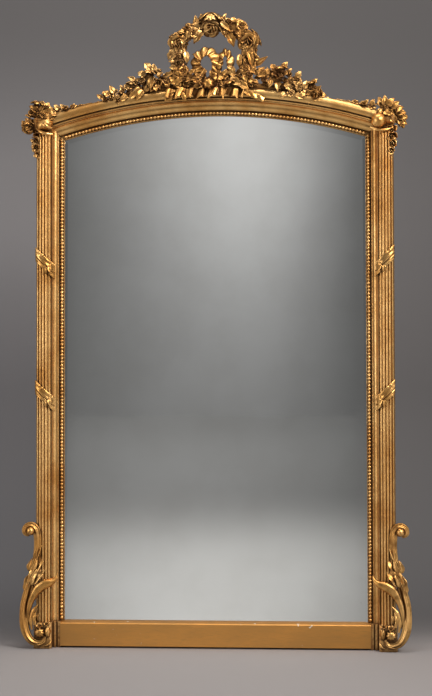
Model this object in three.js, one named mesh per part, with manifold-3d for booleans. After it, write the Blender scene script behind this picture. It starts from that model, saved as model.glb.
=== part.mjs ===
// Arched giltwood trumeau mirror: reeded columns and a cornice round a bevelled looking glass,
// a crest of roses with a ribbon bow, leafed corners and scrolled feet.
// Millimetres, +Z up, the front faces -Y. Depths are measured forward from the front of the carcass.
import * as THREE from 'three';
import { mergeVertices } from 'three/addons/utils/BufferGeometryUtils.js';
import Module from 'manifold-3d';

const wasm = await Module();
wasm.setup();

// ---------------------------------------------------------------- driving sizes
const SIGHT_WIDTH = 938; // looking glass that shows between the side mouldings
const SIGHT_SIDE = 1497; // straight side of the sight, from the base to the springing
const ARCH_RISE = 70; // from the springing to the crown of the sight
const BASE_HEIGHT = 80; // base rail and plinths
const FIT = 0.3; // clearance between pieces that rest on each other

const CARCASS_DEPTH = 45; // softwood frame behind the gilt front
const STILE_SETBACK = 15; // stile behind the edge of the sight, which leaves the glass rebate
const RAIL_BOTTOM = 8; // base rails clear the floor by this
const TENON_THICKNESS = 16;
const TENON_LENGTH = 34;

const PLATE_THICKNESS = 6;
const PLATE_LAP = 12; // plate hidden behind the edge of the sight
const PLATE_BEVEL = 32; // bevel, measured from the edge of the plate
const BEVEL_DROP = 1.2;
const BLOCK_LENGTH = 60; // glazing blocks
const BLOCKS_PER_SIDE = 3;
const BOARD_COUNT = 5;
const BOARD_THICKNESS = 9;
const BOARD_LAP = 18; // backboards let into the back of the carcass

const COVE_WIDTH = 37; // beside the columns
const HEAD_COVE_WIDTH = 46; // under the cornice
const COVE_DEPTH = 30;
const BEAD_PITCH = 10.3;
const BEAD_WIDTH = 9;
const BEAD_HEIGHT = 6.5;
const BEAD_SEAT = 8; // depth of the bead groove's floor
const LIP_WIDTH = 6; // between the sight and the beads

const COLUMN_WIDTH = 49;
const COLUMN_FLANK = 26; // straight side behind the half-round shaft
const SHAFT_RISE = 20;
const REED_COUNT = 6;
const REED_RELIEF = 2.6;
const PLINTH_DEPTH = 54;
const PLINTH_FILLET = 8; // each upright fillet beside the plinth block
const BLOCK_PROUD = 3; // corner blocks in front of the cornice, and beside the columns by less

const CORNICE_WIDTH = 38;
const CORNICE_DEPTH = 41;
const RAIL_DEPTH = 31; // gilt base rail
const HEAD_STEPS = 18; // facets round the head

const RIBBON_WIDTH = 34;
const RIBBON_THICKNESS = 3.6;
const RIBBON_HEIGHTS = { lower: 777, upper: 1189 };

const WREATH_WIDTH = 224; // between the centre lines of the two sides
const WREATH_HEIGHT = 205; // from the cornice to the centre line at the top
const WREATH_TUBE = 21;
const SPRAY_LENGTH = 205; // each spray along the cornice
const SPRAY_HEIGHT = 88;
const RUFFLE_LENGTH = 290;
const RUFFLE_HEIGHT = 42;
const RUFFLE_PLEATS = 12;

// ---------------------------------------------------------------- places worked out from them
const sightX = SIGHT_WIDTH / 2;
const springZ = BASE_HEIGHT + SIGHT_SIDE;
const sightRadius = (sightX ** 2 + ARCH_RISE ** 2) / (2 * ARCH_RISE);
const arcZ = springZ + ARCH_RISE - sightRadius; // centre of every arc of the head
const coveX = sightX + COVE_WIDTH;
const frameX = coveX + COLUMN_WIDTH;
const columnX = (coveX + frameX) / 2;
const stileX = sightX + STILE_SETBACK;
const stileOuterX = frameX - 2;
const corniceInner = sightRadius + HEAD_COVE_WIDTH + FIT;
const corniceOuter = corniceInner + CORNICE_WIDTH;
const heightOnArc = (radius, x) => arcZ + Math.sqrt(radius ** 2 - x ** 2);
const crownZ = arcZ + corniceOuter;
const shoulderZ = springZ - 18; // tops of the stiles
const blockZ = heightOnArc(corniceInner, frameX) - 6;
const blockDepth = CORNICE_DEPTH + BLOCK_PROUD; // corner blocks over the columns

// ---------------------------------------------------------------- finishes
function finish(color, roughness, metalness) {
  return () => new THREE.MeshStandardMaterial({ color, roughness, metalness });
}

const gilt = finish(0xc8964f, 0.38, 0.85);
const giltFlat = finish(0xa87332, 0.5, 0.7);
const silvered = finish(0xa9adac, 0.08, 1);
const softwood = finish(0x8a6a45, 0.85, 0);
const backing = finish(0x6e5236, 0.9, 0);

// ---------------------------------------------------------------- shape tools
const shapeOf = (points) => new THREE.Shape(points.map(([a, b]) => new THREE.Vector2(a, b)));

// A prism of a flat outline. Across x the outline is drawn in (y, z), across y in (x, z), up z in (x, y).
function prism(outline, axis, from, to) {
  const bases = {
    x: [new THREE.Vector3(0, 1, 0), new THREE.Vector3(0, 0, 1), new THREE.Vector3(1, 0, 0)],
    y: [new THREE.Vector3(1, 0, 0), new THREE.Vector3(0, 0, 1), new THREE.Vector3(0, -1, 0)],
    z: [new THREE.Vector3(1, 0, 0), new THREE.Vector3(0, 1, 0), new THREE.Vector3(0, 0, 1)],
  };
  const geometry = new THREE.ExtrudeGeometry(shapeOf(outline), { depth: to - from, bevelEnabled: false });
  geometry.applyMatrix4(new THREE.Matrix4().makeBasis(...bases[axis]));
  const start = { x: [from, 0, 0], y: [0, to, 0], z: [0, 0, from] };
  return geometry.translate(...start[axis]);
}

const rectangle = (a0, b0, a1, b1) => [[a0, b0], [a1, b0], [a1, b1], [a0, b1]];
const box = (x0, x1, y0, y1, z0, z1) => prism(rectangle(x0, y0, x1, y1), 'z', z0, z1);

// The closed skin through rings of equally many points, with a fan over each end.
function loft(rings) {
  const count = rings[0].length;
  const last = (rings.length - 1) * count;
  const index = [];
  for (let start = 0; start < last; start += count) {
    for (let i = 0; i < count; i++) {
      const a = start + i;
      const b = start + ((i + 1) % count);
      index.push(a, b, b + count, a, b + count, a + count);
    }
  }
  for (let i = 1; i < count - 1; i++) {
    index.push(0, i + 1, i, last, last + i, last + i + 1);
  }
  return new THREE.BufferGeometry().setFromPoints(rings.flat()).setIndex(index);
}

function signedVolume(geometry) {
  const position = geometry.getAttribute('position');
  const corner = [0, 1, 2].map(() => new THREE.Vector3());
  let volume = 0;
  for (let i = 0; i < geometry.index.count; i += 3) {
    corner.forEach((point, k) => point.fromBufferAttribute(position, geometry.index.getX(i + k)));
    volume += corner[0].dot(corner[1].cross(corner[2])) / 6;
  }
  return volume;
}

// One welded mesh with its faces pointing out.
function closed(geometry) {
  const bare = geometry.clone();
  bare.deleteAttribute('normal');
  bare.deleteAttribute('uv');
  const merged = mergeVertices(bare, 1e-3);
  if (signedVolume(merged) < 0) {
    merged.setIndex(Array.from(merged.index.array).reverse());
  }
  return merged;
}

function solid(geometry) {
  const mesh = closed(geometry);
  const vertProperties = new Float32Array(mesh.getAttribute('position').array);
  const triVerts = new Uint32Array(mesh.index.array);
  return new wasm.Manifold(new wasm.Mesh({ numProp: 3, vertProperties, triVerts }));
}

function geometryOf(body) {
  const { vertProperties, triVerts } = body.getMesh();
  const geometry = new THREE.BufferGeometry();
  geometry.setAttribute('position', new THREE.BufferAttribute(new Float32Array(vertProperties), 3));
  return geometry.setIndex(Array.from(triVerts));
}

function cut(geometry, ...tools) {
  return geometryOf(tools.map(solid).reduce((body, tool) => body.subtract(tool), solid(geometry)));
}

const weld = (parts) => geometryOf(parts.map(solid).reduce((body, part) => body.add(part)));

function addPiece(group, name, geometry, material) {
  const flat = closed(geometry).toNonIndexed();
  flat.computeVertexNormals();
  const mesh = new THREE.Mesh(flat, material());
  mesh.name = name;
  group.add(mesh);
}

// The piece as drawn on the right, and its mirror image on the left.
function addPair(group, name, geometry, material) {
  addPiece(group, `${name}_right`, geometry, material);
  addPiece(group, `${name}_left`, geometry.clone().scale(-1, 1, 1), material);
}

// ---------------------------------------------------------------- arcs of the head
class HeadArc extends THREE.Curve {
  constructor(radius, reach) {
    super();
    this.radius = radius;
    this.reach = reach;
  }

  getPoint(t, target = new THREE.Vector3()) {
    const angle = this.reach * (2 * t - 1);
    return target.set(this.radius * Math.sin(angle), 0, arcZ + this.radius * Math.cos(angle));
  }
}

// A moulding bent round the head. The profile is in (distance outward from the radius, depth).
function bentMoulding(profile, radius, reachX, steps) {
  const outline = shapeOf(profile.map(([outward, depth]) => [depth, -outward]));
  const extrudePath = new HeadArc(radius, Math.asin(reachX / radius));
  return new THREE.ExtrudeGeometry(outline, { steps, extrudePath, bevelEnabled: false });
}

function arcPoints(radius, fromX, toX, steps) {
  const start = Math.asin(fromX / radius);
  const turn = (Math.asin(toX / radius) - start) / steps;
  return Array.from({ length: steps + 1 }, (_, i) => [
    radius * Math.sin(start + i * turn),
    arcZ + radius * Math.cos(start + i * turn),
  ]);
}

// ---------------------------------------------------------------- carved forms
// A tapering stem along a smooth curve, its section an ellipse that is thinner from front to back.
function stem(points, radii, steps, sides = 8, flatness = 0.62) {
  const curve = new THREE.CatmullRomCurve3(points.map((point) => new THREE.Vector3(...point)));
  const front = new THREE.Vector3(0, -1, 0);
  const rings = [];
  for (let i = 0; i <= steps; i++) {
    const t = i / steps;
    const place = t * (radii.length - 1);
    const before = Math.min(Math.floor(place), radii.length - 2);
    const radius = THREE.MathUtils.lerp(radii[before], radii[before + 1], place - before);
    const centre = curve.getPoint(t);
    const across = new THREE.Vector3().crossVectors(curve.getTangent(t), front).normalize();
    const outward = new THREE.Vector3().crossVectors(across, curve.getTangent(t)).normalize();
    rings.push(Array.from({ length: sides }, (_, k) => {
      const angle = (2 * Math.PI * k) / sides;
      return centre.clone()
        .addScaledVector(across, radius * Math.cos(angle))
        .addScaledVector(outward, radius * flatness * Math.sin(angle));
    }));
  }
  return loft(rings);
}

// A lobed round form that faces -Y: a blossom when it is cupped, a shell or boss when it is domed.
function lobedForm(radius, lobes, profile) {
  const sides = lobes * 2;
  return loft(profile.map(([share, depth, relief]) => Array.from({ length: sides }, (_, k) => {
    const angle = (2 * Math.PI * k) / sides;
    const reach = radius * share * (1 + (k % 2 ? relief : -relief));
    return new THREE.Vector3(reach * Math.cos(angle), -radius * depth, reach * Math.sin(angle));
  })));
}

const BLOSSOM = [[0.35, -0.45, 0], [0.97, 0, 0.12], [0.7, 0.46, 0.08], [0.2, 0.26, 0]];
const DOME = [[1, 0, 0.05], [0.93, 0.4, 0.07], [0.66, 0.72, 0.08], [0.24, 0.86, 0]];

function blossom(radius, position, turn = 0, tilt = 0, petals = 5) {
  const geometry = lobedForm(radius, petals, BLOSSOM);
  geometry.rotateX(tilt).rotateZ(turn);
  return geometry.translate(...position);
}

const dome = (radius, lobes, position, stretch = 1) => lobedForm(radius, lobes, DOME).scale(1, 1, stretch)
  .translate(...position);

// A pointed leaf with a keeled back, from its root, that curls forward towards its tip.
function leaf(length, width, root, direction, lean = 0.2, curl = 0.35) {
  const steps = 3;
  const thickness = width * 0.16;
  const rings = [];
  for (let i = 0; i <= steps; i++) {
    const t = i / steps;
    const half = (width / 2) * Math.max(Math.sin(Math.PI * (0.12 + 0.84 * t)) ** 0.8, 0.12);
    const along = length * t;
    const forward = -length * curl * t * t;
    const deep = thickness * (1.15 - 0.75 * t);
    rings.push([
      new THREE.Vector3(along, forward, half),
      new THREE.Vector3(along, forward - deep * 0.5, 0),
      new THREE.Vector3(along, forward, -half),
      new THREE.Vector3(along, forward + deep, 0),
    ]);
  }
  return loft(rings).rotateZ(-lean).rotateY(-direction).translate(...root);
}

// ---------------------------------------------------------------- carcass
const carcass = new THREE.Group();
const boardX = stileX + BOARD_LAP;
const boardRadius = sightRadius + STILE_SETBACK + BOARD_LAP;
const rebateY = CARCASS_DEPTH - BOARD_THICKNESS - 1;
const railTop = BASE_HEIGHT - STILE_SETBACK;
const rebateZ = railTop - BOARD_LAP;
const tenonY = [CARCASS_DEPTH / 2 - TENON_THICKNESS / 2 - 3, CARCASS_DEPTH / 2 + TENON_THICKNESS / 2 - 3];
const tenonMiddleX = (stileX + stileOuterX) / 2;
const tenonHalf = (stileOuterX - stileX) / 4;
const railTenonZ = [RAIL_BOTTOM + 12, railTop - 12];

function stileTenon(clearance) {
  const [y0, y1] = tenonY;
  const x0 = tenonMiddleX - tenonHalf - clearance;
  const x1 = tenonMiddleX + tenonHalf + clearance;
  return box(x0, x1, y0 - clearance, y1 + clearance, shoulderZ - 5, shoulderZ + TENON_LENGTH + clearance);
}

function railTenons(clearance) {
  const [y0, y1] = tenonY;
  const [z0, z1] = railTenonZ;
  const reach = stileX + TENON_LENGTH + clearance;
  return box(-reach, reach, y0 - clearance, y1 + clearance, z0 - clearance, z1 + clearance);
}

const stileSection = [
  [stileX, 0], [stileOuterX, 0], [stileOuterX, CARCASS_DEPTH], [boardX + FIT, CARCASS_DEPTH],
  [boardX + FIT, rebateY], [stileX, rebateY],
];
const stile = weld([prism(stileSection, 'z', 0, shoulderZ), stileTenon(0)]);
addPair(carcass, 'stile', cut(stile, railTenons(FIT)), softwood);

const railSection = [
  [0, RAIL_BOTTOM], [CARCASS_DEPTH, RAIL_BOTTOM], [CARCASS_DEPTH, rebateZ - FIT], [rebateY, rebateZ - FIT],
  [rebateY, railTop], [0, railTop],
];
const railBody = prism(railSection, 'x', -(stileX - FIT), stileX - FIT);
addPiece(carcass, 'carcass_bottom_rail', weld([railBody, railTenons(0)]), softwood);

const headInner = sightRadius + STILE_SETBACK;
const headOuter = corniceOuter - 6;
const headOutline = [
  [-stileX, shoulderZ + FIT], ...arcPoints(headInner, -stileX, stileX, HEAD_STEPS), [stileX, shoulderZ + FIT],
  [stileOuterX, shoulderZ + FIT], ...arcPoints(headOuter, stileOuterX, -stileOuterX, HEAD_STEPS),
  [-stileOuterX, shoulderZ + FIT],
];
const headRebate = [
  [-boardX - FIT, shoulderZ - 5], ...arcPoints(boardRadius + FIT, -boardX - FIT, boardX + FIT, HEAD_STEPS),
  [boardX + FIT, shoulderZ - 5],
];
const headTenons = [1, -1].map((side) => stileTenon(FIT).scale(side, 1, 1));
const headBody = prism(headOutline, 'y', 0, CARCASS_DEPTH);
const headSlot = prism(headRebate, 'y', rebateY, CARCASS_DEPTH + 5);
addPiece(carcass, 'carcass_head', cut(headBody, headSlot, ...headTenons), softwood);

// ---------------------------------------------------------------- looking glass and back
const glazing = new THREE.Group();
const plateY = FIT;

function plateRing(inset, depth) {
  const halfWidth = sightX + PLATE_LAP - inset;
  const bottom = railTop + FIT + inset;
  const arc = arcPoints(sightRadius + PLATE_LAP - inset, -halfWidth, halfWidth, HEAD_STEPS);
  return [[-halfWidth, bottom], ...arc, [halfWidth, bottom]].map(([x, z]) => new THREE.Vector3(x, depth, z));
}

const plateRings = [
  plateRing(0, plateY + PLATE_THICKNESS), plateRing(0, plateY + BEVEL_DROP), plateRing(PLATE_BEVEL, plateY),
];
addPiece(glazing, 'mirror_plate', loft(plateRings), silvered);

const blockY = plateY + PLATE_THICKNESS + FIT;
const blockSection = [[0, 0], [14, 0], [0, 22]]; // glued to the stile, pressing on the plate
const seatedBlock = blockSection.map(([inward, back]) => [stileX - FIT - inward, blockY + back]);
for (let i = 0; i < BLOCKS_PER_SIDE; i++) {
  const middle = BASE_HEIGHT + (SIGHT_SIDE * (i + 0.5)) / BLOCKS_PER_SIDE;
  const block = prism(seatedBlock, 'z', middle - BLOCK_LENGTH / 2, middle + BLOCK_LENGTH / 2);
  addPair(glazing, `glazing_block_${i + 1}`, block, softwood);
}

const boardTop = heightOnArc(boardRadius, boardX);
const boardHeight = (boardTop - rebateZ) / BOARD_COUNT;
for (let i = 0; i < BOARD_COUNT; i++) {
  const z0 = rebateZ + i * boardHeight + FIT;
  const z1 = rebateZ + (i + 1) * boardHeight - FIT;
  const head = i < BOARD_COUNT - 1
    ? [[boardX, z1], [-boardX, z1]]
    : arcPoints(boardRadius, boardX, -boardX, HEAD_STEPS);
  const outline = [[-boardX, z0], [boardX, z0], ...head];
  const board = prism(outline, 'y', rebateY + FIT, rebateY + FIT + BOARD_THICKNESS);
  addPiece(glazing, `backboard_${i + 1}`, board, backing);
}

// ---------------------------------------------------------------- cove moulding and its beads
const front = new THREE.Group();
const seatEdge = LIP_WIDTH + BEAD_WIDTH + 1;

function coveProfile(width) {
  const ridge = 4.5; // flat outer edge beside the column
  const floor = BEAD_SEAT + 6;
  const reach = width - ridge - seatEdge - 1;
  const hollow = Array.from({ length: 6 }, (_, i) => {
    const angle = (i / 5) * (Math.PI / 2);
    return [seatEdge + 1 + reach * Math.sin(angle), floor + (COVE_DEPTH - floor) * (1 - Math.cos(angle))];
  });
  return [
    [0, FIT], [0, BEAD_SEAT - 1], [1.5, BEAD_SEAT + 1.5], [LIP_WIDTH - 1, BEAD_SEAT + 2],
    [LIP_WIDTH, BEAD_SEAT], [seatEdge, BEAD_SEAT], ...hollow, [width, COVE_DEPTH], [width, FIT],
  ];
}

// Half a plane past the mitre between side and head, upward for the side pieces, downward for the head.
function mitreTool(upward) {
  const inner = new THREE.Vector2(sightX, springZ);
  const outer = new THREE.Vector2(coveX, heightOnArc(sightRadius + HEAD_COVE_WIDTH, coveX));
  const along = outer.clone().sub(inner).normalize();
  const start = inner.clone().addScaledVector(along, -60);
  const end = outer.clone().addScaledVector(along, 60);
  const gap = (upward ? -1 : 1) * (FIT / 2);
  const reach = upward ? 200 : -200;
  const outline = [
    [start.x, start.y + gap], [end.x, end.y + gap], [end.x, end.y + reach], [start.x, start.y + reach],
  ];
  return prism(outline, 'y', -COVE_DEPTH - 10, 10);
}

const coveSection = coveProfile(COVE_WIDTH).map(([outward, depth]) => [sightX + outward, -depth]);
const coveLength = prism(coveSection, 'z', BASE_HEIGHT + FIT, springZ + HEAD_COVE_WIDTH);
addPair(front, 'cove', cut(coveLength, mitreTool(true)), gilt);
const bentCove = bentMoulding(coveProfile(HEAD_COVE_WIDTH), sightRadius, coveX + 10, HEAD_STEPS);
addPiece(front, 'cove_head', cut(bentCove, mitreTool(false), mitreTool(false).scale(-1, 1, 1)), gilt);

// A row of beads, each a low pyramid between two necks. Every neck adds four points: its left foot,
// its right foot, its ridge and the peak of the bead after it.
function beadRow(length, frameAt) {
  const count = Math.round(length / BEAD_PITCH);
  const half = BEAD_WIDTH / 2;
  const points = [];
  const index = [0, 2, 1];
  for (let i = 0; i <= count; i++) {
    const neck = [[-half, FIT], [half, FIT], [0, BEAD_HEIGHT * 0.2]];
    points.push(...neck.map(([across, depth]) => frameAt(i / count, across, BEAD_SEAT + depth)));
    points.push(frameAt((i + 0.5) / count, 0, BEAD_SEAT + BEAD_HEIGHT));
  }
  for (let i = 0; i < count; i++) {
    const [left, right, ridge, peak] = [0, 1, 2, 3].map((k) => 4 * i + k);
    const [nextLeft, nextRight, nextRidge] = [left + 4, right + 4, ridge + 4];
    index.push(left, peak, ridge, left, nextLeft, peak, nextLeft, nextRidge, peak);
    index.push(right, ridge, peak, right, peak, nextRight, nextRight, peak, nextRidge);
    index.push(left, right, nextRight, left, nextRight, nextLeft);
  }
  points.pop();
  index.push(4 * count, 4 * count + 1, 4 * count + 2);
  return new THREE.BufferGeometry().setFromPoints(points).setIndex(index);
}

const beadX = sightX + LIP_WIDTH + BEAD_WIDTH / 2 + 0.5;
const beadRadius = sightRadius + beadX - sightX;
const beadTop = heightOnArc(beadRadius + BEAD_WIDTH / 2, beadX + BEAD_WIDTH / 2);
const beadFoot = BASE_HEIGHT + FIT;
const upright = (t, across, depth) => (
  new THREE.Vector3(beadX + across, -depth, THREE.MathUtils.lerp(beadFoot, beadTop, t))
);
addPair(front, 'beads', beadRow(beadTop - beadFoot, upright), gilt);
const beadReach = Math.asin((beadX - BEAD_WIDTH / 2 - FIT) / (beadRadius + BEAD_WIDTH / 2));
const bent = (t, across, depth) => {
  const angle = beadReach * (2 * t - 1);
  const radius = beadRadius + across;
  return new THREE.Vector3(radius * Math.sin(angle), -depth, arcZ + radius * Math.cos(angle));
};
addPiece(front, 'beads_head', beadRow(2 * beadReach * beadRadius, bent), gilt);

// ---------------------------------------------------------------- columns, plinths and corner blocks
// Half-round shaft, drawn from one flank to the other, that clears the reeds by the offset given.
function shaftOutline(offset, steps, relief) {
  const half = COLUMN_WIDTH / 2 + offset;
  const shaft = Array.from({ length: steps + 1 }, (_, i) => {
    const angle = (Math.PI * i) / steps;
    const rise = SHAFT_RISE + offset - relief(angle);
    return [-(half - relief(angle)) * Math.cos(angle), -COLUMN_FLANK - rise * Math.sin(angle)];
  });
  const back = -FIT + (offset ? 1 : 0);
  return [[-half, back], ...shaft, [half, back]].map(([x, y]) => [columnX + x, y]);
}

const reeds = (angle) => REED_RELIEF * (1 - Math.abs(Math.sin(REED_COUNT * angle)));
const shaftEnvelope = prism(shaftOutline(FIT, 16, () => 0), 'z', 0, springZ);

function plinthOutline() {
  const inner = sightX + 9;
  const ledge = COVE_DEPTH - 6;
  const blockX = inner + 3 * PLINTH_FILLET;
  return [
    [inner, -FIT], [inner, -ledge], [inner + PLINTH_FILLET, -ledge], [inner + PLINTH_FILLET, -ledge + 5],
    [inner + 1.6 * PLINTH_FILLET, -ledge + 5], [inner + 1.6 * PLINTH_FILLET, -ledge - 5],
    [inner + 2.4 * PLINTH_FILLET, -ledge - 5], [inner + 2.4 * PLINTH_FILLET, -ledge], [blockX, -ledge],
    [blockX, -PLINTH_DEPTH + 6], [blockX + 6, -PLINTH_DEPTH], [frameX - 4, -PLINTH_DEPTH],
    [frameX + 2, -PLINTH_DEPTH + 6], [frameX + 2, -FIT],
  ];
}

const reededShaft = shaftOutline(0, REED_COUNT * 5, reeds);
addPair(front, 'column', prism(reededShaft, 'z', BASE_HEIGHT + FIT, blockZ - FIT), gilt);
addPair(front, 'plinth', prism(plinthOutline(), 'z', 0, BASE_HEIGHT), gilt);
const cornerX = frameX + 2; // the corner blocks stand a little proud of the columns
const cornerOutline = [
  [coveX + FIT, blockZ], [cornerX, blockZ], [cornerX, heightOnArc(corniceOuter, cornerX)],
  [coveX + FIT, heightOnArc(corniceOuter, coveX + FIT)],
];
addPair(front, 'corner_block', prism(cornerOutline, 'y', -blockDepth, -FIT), gilt);

const railX = sightX + 9 - FIT;
const railProfile = [
  [-FIT, RAIL_BOTTOM - 2], [-RAIL_DEPTH, RAIL_BOTTOM - 2], [-RAIL_DEPTH, BASE_HEIGHT - 6],
  [-RAIL_DEPTH + 3, BASE_HEIGHT - 3], [-RAIL_DEPTH + 8, BASE_HEIGHT - 3], [-BEAD_SEAT - 2, BASE_HEIGHT],
  [-FIT, BASE_HEIGHT],
];
addPiece(front, 'base_rail', prism(railProfile, 'x', -railX, railX), giltFlat);

// ---------------------------------------------------------------- cornice
function corniceProfile() {
  const swell = Array.from({ length: 6 }, (_, i) => {
    const t = i / 5;
    return [12 + (CORNICE_WIDTH - 12) * t, CORNICE_DEPTH - 8 * (1.6 * t - 0.5) ** 2];
  });
  return [
    [0, FIT], [0, CORNICE_DEPTH - 9], [3.6, CORNICE_DEPTH - 9], [4.4, CORNICE_DEPTH - 12],
    [5.6, CORNICE_DEPTH - 12], [6.4, CORNICE_DEPTH - 7], [9.4, CORNICE_DEPTH - 6], [10.6, CORNICE_DEPTH - 9],
    ...swell, [CORNICE_WIDTH, FIT],
  ];
}

const corniceEnds = [1, -1].map((side) => (
  box(coveX, frameX + 60, -80, 20, springZ - 80, crownZ).scale(side, 1, 1)
));
const bentCornice = bentMoulding(corniceProfile(), corniceInner, frameX, HEAD_STEPS);
addPiece(front, 'cornice', cut(bentCornice, ...corniceEnds), gilt);

// What lies on the cornice is cut back to its surface.
const envelopeX = (corniceOuter + FIT) * (frameX / corniceInner); // ends on the same spoke as the cornice
const corniceEnvelope = prism([
  ...arcPoints(corniceOuter + FIT, -envelopeX, envelopeX, HEAD_STEPS),
  [envelopeX, springZ], [-envelopeX, springZ],
], 'y', -CORNICE_DEPTH - FIT, CARCASS_DEPTH + 1);

// ---------------------------------------------------------------- ribbons round the columns
// A band that falls across the shaft from its outer side to its inner side.
function ribbonTie(height) {
  const steps = 10;
  const fall = 24;
  const clear = 2 * FIT; // the chords of the band stay outside the round of the shaft
  const ridge = COVE_DEPTH + 2 * FIT - COLUMN_FLANK; // the band ends over the cove's ridge
  const last = Math.PI - Math.asin(ridge / SHAFT_RISE);
  const rings = Array.from({ length: steps + 1 }, (_, i) => {
    const angle = (last * i) / steps;
    const middle = height + fall * (1 - (2 * i) / steps);
    const fold = RIBBON_THICKNESS * (i % 2 ? 1.35 : 1);
    const at = (offset, z) => new THREE.Vector3(
      columnX + Math.cos(angle) * (COLUMN_WIDTH / 2 + offset),
      -(COLUMN_FLANK + Math.sin(angle) * (SHAFT_RISE + offset)),
      z,
    );
    const half = (RIBBON_WIDTH / 2) * (0.75 + 0.25 * Math.sin(angle));
    return [
      at(clear, middle - half), at(RIBBON_THICKNESS, middle - half), at(fold + 1.2, middle),
      at(RIBBON_THICKNESS, middle + half), at(clear, middle + half),
    ];
  });
  return loft(rings);
}

for (const [level, height] of Object.entries(RIBBON_HEIGHTS)) {
  addPair(front, `ribbon_${level}`, ribbonTie(height), gilt);
}

// ---------------------------------------------------------------- scrolled feet
const feet = new THREE.Group();
const shaftDepth = COLUMN_FLANK + SHAFT_RISE;

function footScroll() {
  const at = ([outward, depth, z]) => [columnX + outward, -depth, z];
  const lower = [
    [2, PLINTH_DEPTH + 5, 9], [30, PLINTH_DEPTH + 3, 14], [55, PLINTH_DEPTH - 2, 46],
    [62, PLINTH_DEPTH - 4, 92], [55, PLINTH_DEPTH - 4, 137], [36, shaftDepth + 8, 174],
    [8, shaftDepth + 11, 198], [-19, shaftDepth + 11, 212], [-43, shaftDepth + 8, 226],
  ].map(at);
  const upper = [
    [55, shaftDepth - 2, 130], [45, shaftDepth - 6, 185], [28, shaftDepth - 4, 235],
    [21, shaftDepth - 2, 290], [23, shaftDepth - 2, 335], [34, shaftDepth, 364],
    [48, shaftDepth + 2, 366], [53, shaftDepth + 2, 353], [45, shaftDepth + 2, 346],
  ].map(at);
  const inner = [
    [32, PLINTH_DEPTH, 30], [44, PLINTH_DEPTH, 66], [41, PLINTH_DEPTH, 104], [20, PLINTH_DEPTH - 2, 134],
  ].map(at);
  const members = [
    stem(lower, [8, 12, 14, 14, 14, 16, 17, 14, 2], 14, 7),
    stem(upper, [8, 11, 13, 13, 12, 10, 9, 6, 3], 13, 6),
    stem(inner, [5, 9, 8, 2], 6, 5),
    leaf(52, 22, at([32, shaftDepth + 2, 228]), Math.PI / 2 + 0.55, 0, 0.08),
    leaf(44, 20, at([38, shaftDepth + 2, 206]), Math.PI / 2 + 0.75, 0, 0.08),
    leaf(46, 20, at([46, shaftDepth, 168]), Math.PI / 2 + 0.95, 0, 0.08),
  ];
  const plinthCover = box(sightX - 5, frameX + 2 + FIT, -PLINTH_DEPTH - FIT, 0, 0, BASE_HEIGHT + FIT);
  return cut(weld(members), shaftEnvelope, plinthCover);
}

addPair(feet, 'foot_scroll', footScroll(), gilt);
addPair(feet, 'foot_boss', dome(25, 7, [columnX, -PLINTH_DEPTH - FIT, 48], 1.08), gilt);

// ---------------------------------------------------------------- corners
const corners = new THREE.Group();
const cornerZ = (blockZ + heightOnArc(corniceOuter, frameX)) / 2 + 4;

function cornerSpray() {
  const topZ = heightOnArc(corniceOuter, columnX);
  const root = [cornerX - 4, -24, topZ + 4];
  const up = Math.PI / 2;
  const parts = [
    dome(27, 5, [root[0], 2, root[2]], 1),
    blossom(22, [cornerX + 28, -22, topZ - 30], 0.5),
    blossom(21, [cornerX - 12, -26, topZ + 36], 0, 0.3),
    leaf(64, 34, root, up - 0.95, 0.1, 0.2),
    leaf(62, 30, root, up - 0.25, 0.1, 0.25),
    leaf(52, 28, root, up + 0.7, 0.1, 0.3),
    leaf(58, 30, root, up - 2.35, 0, 0.08),
  ];
  const coverX = [cornerX + FIT, coveX, coveX - 80];
  const coverTop = coverX.map((x) => [x, heightOnArc(corniceOuter, x) + 2 * FIT]);
  const coverFoot = [[coveX - 80, blockZ - 120], [cornerX + FIT, blockZ - 120]];
  const blockCover = prism([...coverTop, ...coverFoot], 'y', -blockDepth - FIT, CARCASS_DEPTH + 1);
  return cut(weld(parts), blockCover, corniceEnvelope);
}

// Bell husks, each hanging from the one above, with a flat side against the column.
function huskDrop() {
  const husks = [[15, 26], [13, 24], [10, 21]];
  const sides = 7;
  const rings = [];
  let z = blockZ - 2;
  for (const [radius, length] of husks) {
    for (const [share, down] of [[0.4, 0], [1, 0.35], [0.92, 0.75], [0.35, 0.98]]) {
      rings.push(Array.from({ length: sides }, (_, k) => {
        const angle = Math.PI * (k / (sides - 1) - 0.5);
        return new THREE.Vector3(
          frameX + FIT + 1.2 * radius * share * Math.cos(angle),
          -14 + 0.85 * radius * share * Math.sin(angle),
          z - length * down,
        );
      }));
    }
    z -= length;
  }
  return loft(rings);
}

addPair(corners, 'corner_shell', dome(27, 8, [columnX, -blockDepth - FIT, cornerZ], 0.9), gilt);
addPair(corners, 'corner_spray', cornerSpray(), gilt);
addPair(corners, 'husk_drop', huskDrop(), gilt);

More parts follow.
